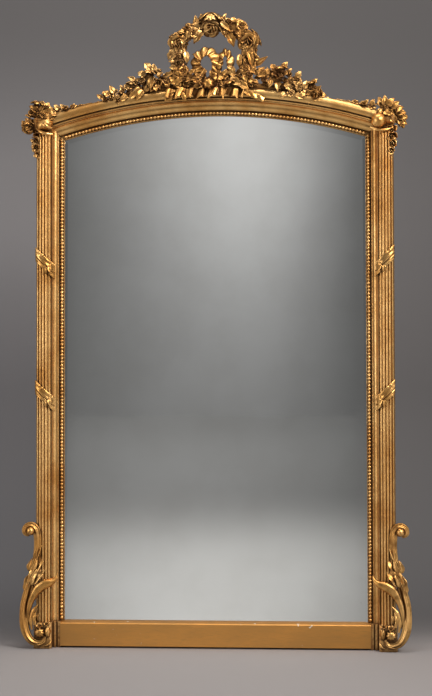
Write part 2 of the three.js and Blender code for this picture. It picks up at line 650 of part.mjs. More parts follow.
// ---------------------------------------------------------------- sprays of leaf and blossom on the cornice
// A spray that tapers from its root at startX for a length along the cornice.
function spray(startX, length, height, count) {
  const place = (t, lift, depth) => {
    const radius = corniceOuter + lift;
    const angle = (startX + length * t) / corniceOuter;
    return [radius * Math.sin(angle), -depth, arcZ + radius * Math.cos(angle)];
  };
  const thick = height * 0.14;
  const parts = [stem([0, 0.33, 0.66, 1].map((t) => place(t, thick * (1 - 0.6 * t), 24)),
    [thick * 1.3, thick * 1.2, thick, 3], 6, 5, 1)];
  for (let i = 0; i < count; i++) {
    const t = (i + 0.3) / count;
    const tall = height * (1 - 0.72 * t);
    const flower = tall * (i % 2 ? 0.24 : 0.28);
    const lift = i % 2 ? tall * 0.3 : tall * 0.42;
    parts.push(blossom(flower, place(t, lift, 24 + 0.35 * flower), 0.3, i % 2 ? 0.3 : -0.2, 4));
    const turn = Math.PI / 2 - (i % 2 ? 0.75 : 0.1);
    parts.push(leaf(tall * 0.78, tall * 0.36, place(t, 4, 22), turn, 0.1, 0.15));
  }
  return cut(weld(parts), corniceEnvelope);
}

addPair(corners, 'corner_trail', spray(434, 60, 34, 2), gilt);

// ---------------------------------------------------------------- crest
const crest = new THREE.Group();
const wreathZ = crownZ + WREATH_HEIGHT - WREATH_WIDTH / 2; // centre of the round top
const crestDepth = 22;

class WreathLine extends THREE.Curve {
  getPoint(t, target = new THREE.Vector3()) {
    const radius = WREATH_WIDTH / 2;
    const leg = wreathZ - (crownZ - 8);
    const total = Math.PI * radius + 2 * leg;
    const run = t * total;
    const angle = THREE.MathUtils.clamp((run - leg) / radius, 0, Math.PI);
    const drop = Math.max(leg - run, run - (total - leg), 0);
    const draw = 1 - 0.12 * (drop / leg) ** 2;
    const z = wreathZ - drop + radius * Math.sin(angle);
    return target.set(-radius * draw * Math.cos(angle), -crestDepth, z);
  }
}

function wreath() {
  const line = new WreathLine();
  const points = Array.from({ length: 17 }, (_, i) => line.getPoint(i / 16).toArray());
  const roses = [[0.5, 42], [0.3, 33], [0.7, 33], [0.4, 22], [0.6, 22], [0.17, 24], [0.83, 24]];
  const parts = [stem(points, [WREATH_TUBE, WREATH_TUBE], 16, 6, 0.8)];
  for (const [t, radius] of roses) {
    const [x, , z] = line.getPoint(t).toArray();
    parts.push(blossom(radius, [x, -crestDepth - 10, z], x / 400, (z - wreathZ) / 400, radius > 30 ? 5 : 4));
  }
  const leaves = 6;
  for (let i = 0; i < leaves; i++) {
    const t = (i + 0.5) / leaves;
    const [x, , z] = line.getPoint(t).toArray();
    const outward = Math.atan2(z - wreathZ + 30, x) + (i % 2 ? 0.9 : -0.9);
    parts.push(leaf(36, 17, [x, -crestDepth, z], outward, 0.1, 0.2));
  }
  return cut(weld(parts), corniceEnvelope);
}

addPiece(crest, 'crest_wreath', wreath(), gilt);

// A loop of flat ribbon that stands on the mound, from foot to foot.
const moundZ = crownZ + 26;
const ruffleFoot = corniceOuter - 26; // radius of the ruffle's lower edge
const BOW_DEPTH = 16; // middle of the ribbon, in front of the carcass
const BOW_WIDTH = 24;
const BOW_THICKNESS = 3.2;

function bowLoop(points) {
  const centres = points.map(([x, rise]) => new THREE.Vector3(x, -BOW_DEPTH, crownZ + rise));
  const curve = new THREE.CatmullRomCurve3(centres);
  const steps = 14;
  const section = rectangle(-BOW_THICKNESS / 2, -BOW_WIDTH / 2, BOW_THICKNESS / 2, BOW_WIDTH / 2);
  const rings = Array.from({ length: steps + 1 }, (_, i) => {
    const centre = curve.getPoint(i / steps);
    const tangent = curve.getTangent(i / steps).setY(0).normalize();
    const normal = new THREE.Vector3(tangent.z, 0, -tangent.x);
    return section.map(([thick, wide]) => centre.clone()
      .addScaledVector(normal, thick)
      .add(new THREE.Vector3(0, wide, 0)));
  });
  return loft(rings);
}

const bowLoops = {
  left: [[-30, 18], [-58, 44], [-64, 84], [-38, 112], [-10, 88], [-8, 18]],
  right: [[8, 18], [12, 80], [28, 112], [50, 84], [50, 44], [36, 18]],
};
for (const [name, line] of Object.entries(bowLoops)) {
  const mound = box(-120, 120, -60, 30, crownZ - 20, moundZ + FIT);
  addPiece(crest, `crest_bow_${name}`, cut(bowLoop(line), mound), gilt);
}

// Mound of leaf and bud between the wreath, the bow and the ruffle.
function crestMound() {
  const parts = [box(-72, 72, -28, -4, crownZ - 20, moundZ)];
  for (let i = 0; i < 5; i++) {
    const turn = Math.PI / 2 - (i - 2) * 0.55;
    parts.push(leaf(40, 22, [(i - 2) * 24, -30, moundZ - 14], turn, 0.35, 0.3));
  }
  parts.push(blossom(18, [-14, -34, moundZ + 2], 0, 0.2));
  const bowCover = box(-80, 80, -28 - FIT, 8, moundZ, moundZ + 120);
  const ruffleTop = arcZ + ruffleFoot + RUFFLE_HEIGHT;
  const ruffleCover = box(-120, 120, -100, -CORNICE_DEPTH, crownZ - 60, ruffleTop + FIT);
  return cut(weld(parts), bowCover, ruffleCover, corniceEnvelope);
}

addPiece(crest, 'crest_mound', crestMound(), gilt);

// Pleated ribbon along the front of the cornice, bent to its curve.
function ruffle() {
  const stations = RUFFLE_PLEATS * 4;
  const edge = (i, thickness) => {
    const wave = 7 * Math.cos((Math.PI * i) / 2);
    return [RUFFLE_LENGTH * (i / stations - 0.5), -(CORNICE_DEPTH + FIT + 10 + wave + thickness)];
  };
  const back = Array.from({ length: stations + 1 }, (_, i) => edge(i, -3));
  const face = Array.from({ length: stations + 1 }, (_, i) => edge(i, 3)).reverse();
  const geometry = prism([...back, ...face], 'z', 0, RUFFLE_HEIGHT);
  const position = geometry.getAttribute('position');
  for (let i = 0; i < position.count; i++) {
    position.setZ(i, heightOnArc(ruffleFoot, position.getX(i)) + position.getZ(i));
  }
  return geometry;
}

addPiece(crest, 'crest_ruffle', ruffle(), gilt);

addPair(crest, 'crest_spray', spray(148, SPRAY_LENGTH, SPRAY_HEIGHT, 5), gilt);

const braceTop = crownZ + 22;
const brace = box(-28, 28, FIT, 16, arcZ + headOuter + FIT, braceTop);
addPiece(crest, 'crest_brace', brace, softwood);

// ---------------------------------------------------------------- the whole mirror
const mirror = new THREE.Group();
mirror.name = 'trumeau_mirror';
mirror.add(carcass, glazing, front, feet, corners, crest);

// The origin is on the floor, under the middle of the outline.
const bounds = new THREE.Box3().setFromObject(mirror);
mirror.position.y = -(bounds.min.y + bounds.max.y) / 2;

export default mirror;
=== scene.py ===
"""Looks of an arched giltwood mirror: carved and gilded front, old looking glass, bare wood behind.

Metres, +Z up, the front faces -Y. Depths are measured forward from the front of the carcass.
"""
import math
import random

import bmesh
import bpy
from mathutils import Matrix, Vector


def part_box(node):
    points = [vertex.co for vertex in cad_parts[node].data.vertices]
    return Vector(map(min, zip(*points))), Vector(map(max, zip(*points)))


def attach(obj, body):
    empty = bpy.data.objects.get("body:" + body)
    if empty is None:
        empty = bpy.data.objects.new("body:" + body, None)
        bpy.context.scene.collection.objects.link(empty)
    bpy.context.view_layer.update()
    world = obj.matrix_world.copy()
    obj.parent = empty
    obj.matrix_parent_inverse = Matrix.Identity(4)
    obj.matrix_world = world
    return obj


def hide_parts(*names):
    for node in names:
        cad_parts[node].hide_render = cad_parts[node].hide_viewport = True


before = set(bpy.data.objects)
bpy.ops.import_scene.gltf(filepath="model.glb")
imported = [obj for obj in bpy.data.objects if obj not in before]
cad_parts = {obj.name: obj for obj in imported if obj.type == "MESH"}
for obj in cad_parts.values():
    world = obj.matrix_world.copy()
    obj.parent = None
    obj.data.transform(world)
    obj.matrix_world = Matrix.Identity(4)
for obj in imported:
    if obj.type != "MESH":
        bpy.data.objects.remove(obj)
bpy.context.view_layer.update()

# ---------------------------------------------------------------- sizes, read from the frame
CARCASS_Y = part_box("stile_right")[0].y
SIGHT_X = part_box("cove_right")[0].x
COVE_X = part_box("cove_right")[1].x
FRAME_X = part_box("column_right")[1].x
COLUMN_X = (COVE_X + FRAME_X) / 2
BASE_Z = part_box("plinth_right")[1].z
CROWN_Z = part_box("cornice")[1].z
SHAFT_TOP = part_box("column_right")[1].z
COVE_DEPTH = CARCASS_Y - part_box("cove_right")[0].y
CORNICE_DEPTH = CARCASS_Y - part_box("cornice")[0].y
SHAFT_DEPTH = CARCASS_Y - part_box("column_right")[0].y
ARCH_RISE = 0.070  # from the springing to the crown of the sight
SIGHT_SIDE = 1.497  # straight side of the sight
CORNICE_WIDTH = 0.038
HEAD_COVE = 0.046  # width of the cove under the cornice
FIT = 0.0003  # clearance in front of the carcass
SPRING_Z = BASE_Z + SIGHT_SIDE
SIGHT_RADIUS = (SIGHT_X ** 2 + ARCH_RISE ** 2) / (2 * ARCH_RISE)
ARC_Z = SPRING_Z + ARCH_RISE - SIGHT_RADIUS
CORNICE_OUTER = CROWN_Z - ARC_Z
CORNICE_INNER = CORNICE_OUTER - CORNICE_WIDTH
SIDES = ((-1, "left"), (1, "right"))

# Carvings are eased in before they reach the edges of the frame's box.
EASED_X, WIDEST_X = 0.594, 0.6062
EASED_DEPTH, GREATEST_DEPTH = 0.066, 0.0756


def at(x, depth, z):
    """A point given by its depth in front of the carcass."""
    return Vector((x, CARCASS_Y - depth, z))


def on_arc(radius, x, depth):
    """The point of an arc of the head above x."""
    return at(x, depth, ARC_Z + math.sqrt(radius ** 2 - x ** 2))


# ---------------------------------------------------------------- node materials
class Link:
    """A node's output socket, with arithmetic."""

    def __init__(self, finish, socket):
        self.finish = finish
        self.socket = socket

    def math(self, operation, other=0.0, clamp=False):
        settings = {"operation": operation, "use_clamp": clamp}
        return self.finish.node("ShaderNodeMath", settings, {0: self, 1: other})

    def __add__(self, other):
        return self.math("ADD", other)

    def __sub__(self, other):
        return self.math("SUBTRACT", other)

    def __mul__(self, other):
        return self.math("MULTIPLY", other)

    def __truediv__(self, other):
        return self.math("DIVIDE", other)

    __radd__, __rmul__ = __add__, __mul__

    def __rsub__(self, other):
        return self * -1.0 + other

    def clamped(self):
        return self.math("ADD", clamp=True)

    def ramp(self, low, high):
        """0 below low, 1 above high, smooth between."""
        settings = {"interpolation_type": "SMOOTHSTEP"}
        sockets = {"Value": self, "From Min": low, "From Max": high}
        return self.finish.node("ShaderNodeMapRange", settings, sockets)


class Finish:
    """The nodes of a material, or of the world's light, put together one at a time."""

    def __init__(self, owner):
        self.owner = owner
        owner.use_nodes = True
        self.tree = owner.node_tree
        self.tree.nodes.clear()

    def node(self, kind, settings=None, sockets=None, output=0):
        made = self.tree.nodes.new(kind)
        for key, value in (settings or {}).items():
            setattr(made, key, value)
        for key, value in (sockets or {}).items():
            if isinstance(value, Link):
                self.tree.links.new(value.socket, made.inputs[key])
            else:
                made.inputs[key].default_value = value
        return Link(self, made.outputs[output]) if made.outputs else None

    def place(self, scale=(1, 1, 1)):
        coordinates = self.node("ShaderNodeTexCoord", output="Object")
        return self.node("ShaderNodeMapping", sockets={"Vector": coordinates, "Scale": scale})

    def noise(self, place, scale, detail=3.0, roughness=0.55):
        sockets = {"Vector": place, "Scale": scale, "Detail": detail, "Roughness": roughness}
        return self.node("ShaderNodeTexNoise", sockets=sockets)

    def mix(self, factor, first, second):
        made = self.tree.nodes.new("ShaderNodeMix")
        made.data_type = "RGBA"
        for socket, value in ((made.inputs[0], factor), (made.inputs[6], first), (made.inputs[7], second)):
            if isinstance(value, Link):
                self.tree.links.new(value.socket, socket)
            elif isinstance(value, (int, float)):
                socket.default_value = value
            else:
                socket.default_value = (*value, 1)
        return Link(self, made.outputs[2])

    def bump(self, height, strength, distance):
        sockets = {"Height": height, "Strength": strength, "Distance": distance}
        return self.node("ShaderNodeBump", sockets=sockets)

    def axes(self, place):
        """The x, y and z of a place."""
        apart = self.node("ShaderNodeSeparateXYZ", sockets={"Vector": place})
        return [Link(self, apart.socket.node.outputs[axis]) for axis in "XYZ"]

    def shader(self, **sockets):
        named = {key.replace("_", " ").title(): value for key, value in sockets.items()}
        return self.node("ShaderNodeBsdfPrincipled", sockets=named)

    def shown(self, shader):
        self.node("ShaderNodeOutputMaterial", sockets={"Surface": shader})
        return self.owner

    def surface(self, **sockets):
        return self.shown(self.shader(**sockets))


def new_finish(name):
    return Finish(bpy.data.materials.new(name))


GOLD_LIGHT = (0.90, 0.545, 0.205)
GOLD_DEEP = (0.62, 0.305, 0.080)
BOLE = (0.26, 0.085, 0.025)  # red clay under the gold
# Dark brown of the hollows: partly grime, partly painted shade.
GRIME_AND_SHADE = (0.090, 0.033, 0.008)
PATINA = (0.24, 0.105, 0.028)
OCHRE, OCHRE_DEEP, OCHRE_STREAK = (0.41, 0.140, 0.011), (0.25, 0.081, 0.006), (0.17, 0.064, 0.013)
RUBBED_EDGE = (0.85, 0.50, 0.17)
GESSO = (0.66, 0.60, 0.50)  # white ground under the gold
SILVER, SILVER_GREY = (0.80, 0.815, 0.81), (0.74, 0.75, 0.74)
SILVER_RIM, TARNISH = (0.60, 0.60, 0.58), (0.16, 0.14, 0.12)
# DUST is dirt on the bare wood; the second colour is painted shade for its crevices.
DUST, CREVICE_SHADE = (0.07, 0.055, 0.04), (0.03, 0.02, 0.013)


def gilding(name, recess, rub, gloss, grime_and_shade_end=0.85, depth=0.0, patina=0.0, black=0.30):
    """Water gilding: burnished on the high parts, rubbed to red clay on the edges, and brown in the hollows
    from grime and painted shade.
    """
    finish = new_finish(name)
    place = finish.place()
    cloud = finish.noise(place, 9, 5)
    fleck = finish.noise(place, 150, 4, 0.65)
    # Ambient occlusion masks the hollows: painted shade in the recesses, partly grime too.
    sky = finish.node("ShaderNodeAmbientOcclusion", {"samples": 8}, {"Distance": recess}, output="AO")
    hollow = 1 - (sky + (fleck - 0.5) * 0.25).ramp(black, grime_and_shade_end)
    edge = finish.node("ShaderNodeNewGeometry", output="Pointiness").ramp(0.52, 0.60)
    rubbed = (edge * fleck.ramp(0.42, 0.60) * rub).clamped()
    patch = cloud.ramp(0.50, 0.72) * fleck.ramp(0.48, 0.62) * (0.6 * rub)
    gold = finish.mix((cloud.ramp(0.35, 0.68) + depth).clamped(), GOLD_LIGHT, GOLD_DEEP)
    gold = finish.mix(finish.noise(place, 38, 4, 0.6).ramp(0.44, 0.68) * patina, gold, PATINA)
    gold = finish.mix((rubbed + patch).clamped() * 0.75, gold, BOLE)
    # Painted shade and grime: the hollows darken towards the dark brown.
    gold = finish.mix(hollow * 0.94, gold, GRIME_AND_SHADE)
    dull = (hollow * 0.22 + rubbed * 0.4 + patch * 0.3).clamped()
    grain = finish.noise(place, 420, 3) * 0.4 + finish.noise(place, 60, 4) * 0.9
    return finish.surface(
        base_color=gold, metallic=1 - dull, roughness=(gloss + cloud * 0.16 + dull * 0.35).clamped(),
        normal=finish.bump(grain, 0.4, 0.0012),
    )


def matt_gilding():
    """Thin ochre gilding on the flat board at the foot, with a few knocks down to the white ground."""
    finish = new_finish("matt_gilding")
    place = finish.place((1, 1, 3))
    cloud = finish.noise(place, 6, 5)
    streak = finish.noise(finish.place((4, 1, 60)), 9, 4)
    speck = finish.noise(finish.place(), 46, 4)
    edge = finish.node("ShaderNodeNewGeometry", output="Pointiness").ramp(0.50, 0.53)
    chip = speck.ramp(0.700, 0.730)
    gold = finish.mix(cloud.ramp(0.3, 0.7), OCHRE, OCHRE_DEEP)
    gold = finish.mix(streak.ramp(0.52, 0.66) * 0.6, gold, OCHRE_STREAK)
    gold = finish.mix(edge * 0.35, gold, RUBBED_EDGE)
    gold = finish.mix(chip, gold, GESSO)
    return finish.surface(
        base_color=gold, metallic=0.85 - chip * 0.85, roughness=0.40 + streak * 0.2,
        normal=finish.bump(streak * 0.5 + speck * 0.5 - chip * 0.6, 0.3, 0.001),
    )


def looking_glass():
    """Old silvering, a little grey, with a dim edge and pinhead specks."""
    finish = new_finish("looking_glass")
    place = finish.place()
    across = finish.axes(finish.place())[0]
    cloud = finish.noise(place, 5, 4)
    speck = finish.noise(place, 210, 2)
    rim = across.math("ABSOLUTE").ramp(SIGHT_X - 0.05, SIGHT_X + 0.01)
    spots = speck.ramp(0.72, 0.78) * (rim * 0.8 + cloud.ramp(0.5, 0.7) * 0.35)
    silver = finish.mix(cloud.ramp(0.3, 0.75), SILVER, SILVER_GREY)
    silver = finish.mix(rim * 0.35, silver, SILVER_RIM)
    silver = finish.mix(spots.clamped(), silver, TARNISH)
    return finish.surface(
        base_color=silver, metallic=1.0, roughness=(0.035 + rim * 0.05 + spots * 0.3).clamped(),
        normal=finish.bump(finish.noise(place, 3, 2), 0.06, 0.004),
    )


def bare_wood(name, light, dark, grain_scale):
    """Aged softwood; the grain runs along the axis with the small scale."""
    finish = new_finish(name)
    place = finish.place(grain_scale)
    grain = finish.noise(place, 10, 6, 0.65)
    pore = finish.noise(place, 55, 3)
    dirt = finish.noise(finish.place(), 4, 4)
    sky = finish.node("ShaderNodeAmbientOcclusion", {"samples": 4}, {"Distance": 0.02}, output="AO")
    wood = finish.mix(grain.ramp(0.35, 0.68), light, dark)
    wood = finish.mix(pore.ramp(0.56, 0.7) * 0.5, wood, tuple(0.45 * value for value in dark))
    wood = finish.mix(dirt.ramp(0.45, 0.75) * 0.4, wood, DUST)
    # Painted shade: ambient occlusion darkens the wood in its crevices.
    wood = finish.mix((1 - sky.ramp(0.3, 0.9)) * 0.7, wood, CREVICE_SHADE)
    return finish.surface(
        base_color=wood, metallic=0.0, roughness=0.72 + pore * 0.18,
        normal=finish.bump(grain + pore * 0.6, 0.5, 0.0008),
    )


BURNISHED = gilding("burnished_gilding", recess=0.016, rub=0.9, gloss=0.25, grime_and_shade_end=0.92, patina=0.18)
SHAFT = gilding("reeded_gilding", recess=0.007, rub=0.4, gloss=0.24, grime_and_shade_end=0.78)
CARVED = gilding("carved_gilding", recess=0.060, rub=0.9, gloss=0.22, grime_and_shade_end=1.0, depth=0.35, patina=0.45,
                 black=0.44)
AGED = gilding("aged_gilding", recess=0.060, rub=1.0, gloss=0.24, grime_and_shade_end=1.0, depth=0.35, patina=0.75,
               black=0.40)
BEADED = gilding("beaded_gilding", recess=0.009, rub=0.3, gloss=0.20, grime_and_shade_end=0.84)


def wear(piece, material):
    """Gives every slot of a frame node its finish."""
    if not piece.material_slots:
        piece.data.materials.append(material)
    for slot in piece.material_slots:
        slot.material = material


PINE_LIGHT, PINE_DARK = (0.40, 0.26, 0.135), (0.24, 0.14, 0.065)
BOARD_LIGHT, BOARD_DARK = (0.27, 0.18, 0.10), (0.15, 0.095, 0.05)
pine_upright = bare_wood("pine_upright", PINE_LIGHT, PINE_DARK, (14, 14, 1))
pine_across = bare_wood("pine_across", PINE_LIGHT, PINE_DARK, (1, 14, 14))
board_across = bare_wood("board_across", BOARD_LIGHT, BOARD_DARK, (1, 14, 10))
for name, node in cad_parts.items():
    if name.startswith(("stile", "glazing_block", "crest_brace")):
        wear(node, pine_upright)
    elif name.startswith("carcass"):
        wear(node, pine_across)
    elif name.startswith("backboard"):
        wear(node, board_across)
    elif name == "base_rail":
        wear(node, matt_gilding())
    else:
        wear(node, BURNISHED)


# ---------------------------------------------------------------- forms
def skin(rows, columns, place):
    """A sheet of rows by columns faces on the surface place(across, along), each from 0 to 1."""
    bm = bmesh.new()
    sheet = bmesh.ops.create_grid(bm, x_segments=columns, y_segments=rows, size=0.5)
    for vert in sheet["verts"]:
        vert.co = place(vert.co.x + 0.5, vert.co.y + 0.5)
    bmesh.ops.remove_doubles(bm, verts=bm.verts, dist=1e-6)
    return bm


def thick(bm, thickness):
    bmesh.ops.recalc_face_normals(bm, faces=bm.faces)
    bmesh.ops.solidify(bm, geom=bm.faces[:], thickness=thickness)
    return bm


def draw_out(bm, faces, offset, **options):
    """Extrudes the faces by one offset."""
    drawn = bmesh.ops.extrude_face_region(bm, geom=faces, **options)
    moved = [item for item in drawn["geom"] if isinstance(item, bmesh.types.BMVert)]
    bmesh.ops.translate(bm, vec=offset, verts=moved)
    return bm


def padded(bm, offset):
    """Thickness for a deeply folded sheet: a copy of it, moved by one offset and joined at the rim."""
    return draw_out(bm, bm.faces[:], offset, use_keep_orig=True)


def drawn_in(value, start, limit):
    """The value, eased beyond start so that it never passes the limit on either side of zero."""
    beyond = abs(value) - start
    if beyond <= 0:
        return value
    return math.copysign(start + (limit - start) * (1 - math.exp(-beyond / (limit - start))), value)


class Carving:
    """Members of one carved piece, gathered in one mesh."""

    def __init__(self):
        self.body = bmesh.new()

    def add(self, form, matrix=None, keep=False):
        member = bpy.data.meshes.new("member")
        bmesh.ops.recalc_face_normals(form, faces=form.faces)
        form.to_mesh(member)
        if matrix is not None:
            member.transform(matrix)
            if matrix.determinant() < 0:
                member.flip_normals()
        self.body.from_mesh(member)
        bpy.data.meshes.remove(member)
        if not keep:
            form.free()

    def finish(self, name, material, *nodes, mirrored=False, rounding=1, crease=None, slot="gilding"):
        mesh = bpy.data.meshes.new(name)
        for vert in self.body.verts:
            vert.co.x = drawn_in(vert.co.x, EASED_X, WIDEST_X)
            vert.co.y = CARCASS_Y - drawn_in(CARCASS_Y - vert.co.y, EASED_DEPTH, GREATEST_DEPTH)
        self.body.to_mesh(mesh)
        self.body.free()
        if mirrored:
            mesh.transform(Matrix.Scale(-1, 4, (1, 0, 0)))
            mesh.flip_normals()
        mesh.materials.append(material)
        mesh.shade_smooth()
        if crease is not None:
            mesh.set_sharp_from_angle(angle=math.radians(crease))
        piece = bpy.data.objects.new(name, mesh)
        bpy.context.scene.collection.objects.link(piece)
        if rounding:
            modifier = piece.modifiers.new("rounding", "SUBSURF")
            modifier.levels = modifier.render_levels = rounding
        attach(piece, "root")
        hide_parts(*nodes)
        return piece


def facing(position, toward, turn=0.0):
    """Stands a form whose axis is +Z at position with the axis along toward."""
    aim = Vector((0, 0, 1)).rotation_difference(Vector(toward)).to_matrix().to_4x4()
    return Matrix.Translation(position) @ aim @ Matrix.Rotation(turn, 4, "Z")


def growing(position, along, face):
    """Lays a form that grows along +X and faces +Z: it then grows along one way and faces the other."""
    run = Vector(along).normalized()
    out = (Vector(face) - run * run.dot(Vector(face))).normalized()
    side = out.cross(run)
    basis = Matrix((run, side, out)).transposed().to_4x4()
    return Matrix.Translation(position) @ basis


def smooth_path(points):
    """A function from 0..1 to the place on a smooth curve through the points."""
    knots = [Vector(point) for point in points]
    knots = [2 * knots[0] - knots[1], *knots, 2 * knots[-1] - knots[-2]]
    spans = len(knots) - 3

    def position(t):
        place = min(max(t, 0.0), 1.0) * spans
        start = min(int(place), spans - 1)
        a, b, c, d = knots[start:start + 4]
        u = place - start
        square = (2 * a - 5 * b + 4 * c - d) * u ** 2
        cube = (3 * b - a - 3 * c + d) * u ** 3
        return 0.5 * (2 * b + (c - a) * u + square + cube)

    return position


def between(values, t):
    """Straight interpolation in a list of evenly spaced values."""
    place = min(max(t, 0.0), 1.0) * (len(values) - 1)
    start = min(int(place), len(values) - 2)
    return values[start] + (values[start + 1] - values[start]) * (place - start)


def petal(length, lean, open_lean, root, wrap, thickness=0.0016, wave=0.0, phase=0.0, notch=0.0):
    """A petal round the axis +Z. It leans out from lean at its root to open_lean at its rim."""
    def place(across, along):
        side = 2 * across - 1
        reach = length * along * (1 - 0.26 * abs(side) ** 2.4 - notch * (1 - abs(side)) ** 2)
        tilt = lean + (open_lean - lean) * along ** 1.5 / 2.2 + wave * math.sin(4 * side + phase) * along ** 2
        out = root + reach * math.sin(tilt)
        turn = side * wrap * (0.42 + 0.58 * math.sin(min(1.0, 1.15 * along) * math.pi / 2))
        curl = 0.10 * length * along * abs(side) ** 3
        return Vector((out * math.cos(turn), out * math.sin(turn), reach * math.cos(tilt) - curl))

    return thick(skin(4, 4, place), -thickness)


def bloom(carving, matrix, rings, radius, rng):
    """Rings of petals, each ring given as count, length, lean, open lean, root and wrap."""
    for count, length, lean, open_lean, root, wrap in rings:
        start = rng.uniform(0, math.tau)
        for i in range(count):
            form = petal(
                radius * length * rng.uniform(0.86, 1.10), math.radians(lean + rng.uniform(-5, 5)),
                math.radians(open_lean + rng.uniform(-14, 14)), radius * root, math.radians(wrap),
                thickness=max(0.0012, 0.055 * radius), wave=0.20, phase=rng.uniform(0, 6), notch=0.12,
            )
            carving.add(form, matrix @ Matrix.Rotation(start + math.tau * i / count, 4, "Z"))


ROSE = (
    (5, 0.86, 58, 118, 0.16, 46), (5, 0.80, 38, 88, 0.15, 44), (4, 0.70, 16, 62, 0.14, 52),
    (3, 0.62, 2, 34, 0.10, 66), (2, 0.56, -6, 12, 0.07, 95),
)
BUD = ((4, 0.95, 34, 30, 0.18, 46), (3, 1.0, 20, 8, 0.14, 62), (2, 1.02, 8, -4, 0.08, 95))
OPEN_FLOWER = ((5, 0.95, 66, 96, 0.10, 36), (4, 0.34, 18, 30, 0.04, 52))
HUSK = ((4, 1.0, 22, 40, 0.16, 52), (3, 0.9, 6, 16, 0.10, 70))
BELL = ((5, 1.0, 12, 62, 0.18, 42), (3, 0.62, 4, 16, 0.05, 66))


def leaf_form(length, width, curl=0.6, lobes=3, thickness=0.0014):
    """A pointed, keeled and lobed leaf along +X that faces +Z and curls back at the tip."""
    def place(across, along):
        side = 2 * across - 1
        swell = max(math.sin(math.pi * along ** 0.72), 0.0) ** 0.85
        lobe = 1 + 0.26 * math.sin(math.tau * (lobes + 0.35) * along - 1.0)
        half = 0.5 * width * max(swell * lobe, 0.17 * (1 - along) + 0.03)
        ripple = math.sin(math.tau * lobes * along + 2.6 * abs(side))
        rise = half * (0.62 * abs(side) + 0.16 * ripple * abs(side))
        bend = curl * along ** 1.3
        run = length * along
        return Vector((
            run * math.cos(bend / 2) + rise * math.sin(bend), side * half,
            -run * math.sin(bend / 2) + rise * math.cos(bend),
        ))

    return thick(skin(3 * lobes + 2, 4, place), -thickness)


def limb(points, widths, flute=0.0, flatness=0.6, rows=24, columns=20, back=0.35):
    """A tapering carved member along a curve. Flute hollows its front on both sides of a middle ridge."""
    path = smooth_path(points)
    front = Vector((0, -1, 0))

    def place(across, along):
        step = 1e-3
        centre = path(along)
        run = (path(min(1, along + step)) - path(max(0, along - step))).normalized()
        outward = (front - run * run.dot(front)).normalized()
        sideways = outward.cross(run)
        width = between(widths, along)
        angle = math.tau * across
        c, s = math.cos(angle), math.sin(angle)
        if s > 0:
            lift = flatness * s ** 0.7 * (1 - flute * math.sin(1.05 * math.pi * abs(c)) ** 2)
        else:
            lift = back * flatness * s
        return centre + sideways * (width * c) + outward * (width * lift)

    return skin(rows, columns, place)


def hood_petal(length, width, curl, thickness=0.0019, camber=0.34):
    """A broad petal from its root along +X, its outside towards +Z. It arches down along a circle."""
    bend = length / curl

    def place(across, along):
        side = 2 * across - 1
        half = 0.5 * width * math.sin(math.pi * (0.17 + 0.66 * along)) ** 0.75
        angle = curl * along * (1 - 0.16 * side * side)
        lip = 0.10 * half * math.sin(5 * side + 1) * along ** 3
        crest = bend - camber * half * side * side + lip + 0.030 * half * math.cos(9 * side)
        return Vector((crest * math.sin(angle), side * half, crest * math.cos(angle) - bend))

    return thick(skin(6, 10, place), -thickness)


def ribbon_form(path_points, ways, width, thickness=0.0022, rows=24, columns=3, crimp=0.0, folds=0):
    """A ribbon whose middle follows the points and whose width lies along the ways, with swelling pleats."""
    path = smooth_path(path_points)
    way = smooth_path(ways)

    def place(across, along):
        side = across - 0.5
        pleat = abs(math.sin(math.pi * folds * along + 1.4 * side)) ** 0.6
        run = (path(min(1, along + 1e-3)) - path(max(0, along - 1e-3))).normalized()
        cross = way(along).normalized()
        front = run.cross(cross)
        if front.y > 0:
            front.negate()
        swell = crimp * (pleat - 0.4) - 0.30 * width * side ** 2
        return path(along) + cross * (side * width * (0.84 + 0.16 * pleat)) + front * swell

    return thick(skin(rows, columns, place), thickness)


# ---------------------------------------------------------------- mouldings
BEAD_PITCH = 0.0109
BEAD_RADIUS = 0.0049
BEAD_SEAT = 0.0035  # depth of the seat's floor
BEAD_LINE = 0.0080  # from the sight to the middle of the beads
COLUMN_FLANK = 0.028  # straight side behind the reeded shaft
REED_COUNT = 5
REED_RELIEF = 0.0052
GLASS_SETBACK = 0.0004
BEVEL_WIDTH, BEVEL_FALL = 0.026, 0.00035


def straight_bar(section, along):
    """A bar: a closed flat section drawn out along a vector."""
    bm = bmesh.new()
    end = bm.faces.new([bm.verts.new(point) for point in section])
    return draw_out(bm, [end], along)


def arched_bar(profile, radius, reach_x, steps=72):
    """A moulding bent round the head: a closed profile in (outward, depth), spun about the arc's centre."""
    reach = math.asin(reach_x / radius)
    bm = bmesh.new()
    turn = Matrix.Rotation(-reach, 3, "Y")
    section = [turn @ Vector((0, CARCASS_Y - depth, radius + outward)) for outward, depth in profile]
    face = bm.faces.new([bm.verts.new(point) for point in section])
    geometry = [face, *face.edges, *face.verts]
    bmesh.ops.spin(bm, geom=geometry, axis=(0, 1, 0), angle=2 * reach, steps=steps)
    bmesh.ops.translate(bm, vec=(0, 0, ARC_Z), verts=bm.verts)
    return bm


def keep_beyond(bm, point, normal):
    """Cuts the form by a plane, keeps the side that the normal points to, and closes the cut."""
    geometry = [*bm.verts, *bm.edges, *bm.faces]
    cut = bmesh.ops.bisect_plane(bm, geom=geometry, plane_co=point, plane_no=normal, clear_inner=True)
    edges = [item for item in cut["geom_cut"] if isinstance(item, bmesh.types.BMEdge)]
    bmesh.ops.holes_fill(bm, edges=edges, sides=0)
    return bm


def moulding(form, piece, material, node, **look):
    """A finished piece of one member."""
    carving = Carving()
    carving.add(form)
    carving.finish(piece, material, node, rounding=0, **look)


def moulding_pair(make, piece, material, node, crease):
    """A moulding on the right, and its mirror image on the left."""
    for side, name in reversed(SIDES):
        moulding(make(), f"{piece}_{name}", material, f"{node}_{name}", mirrored=side < 0, crease=crease)


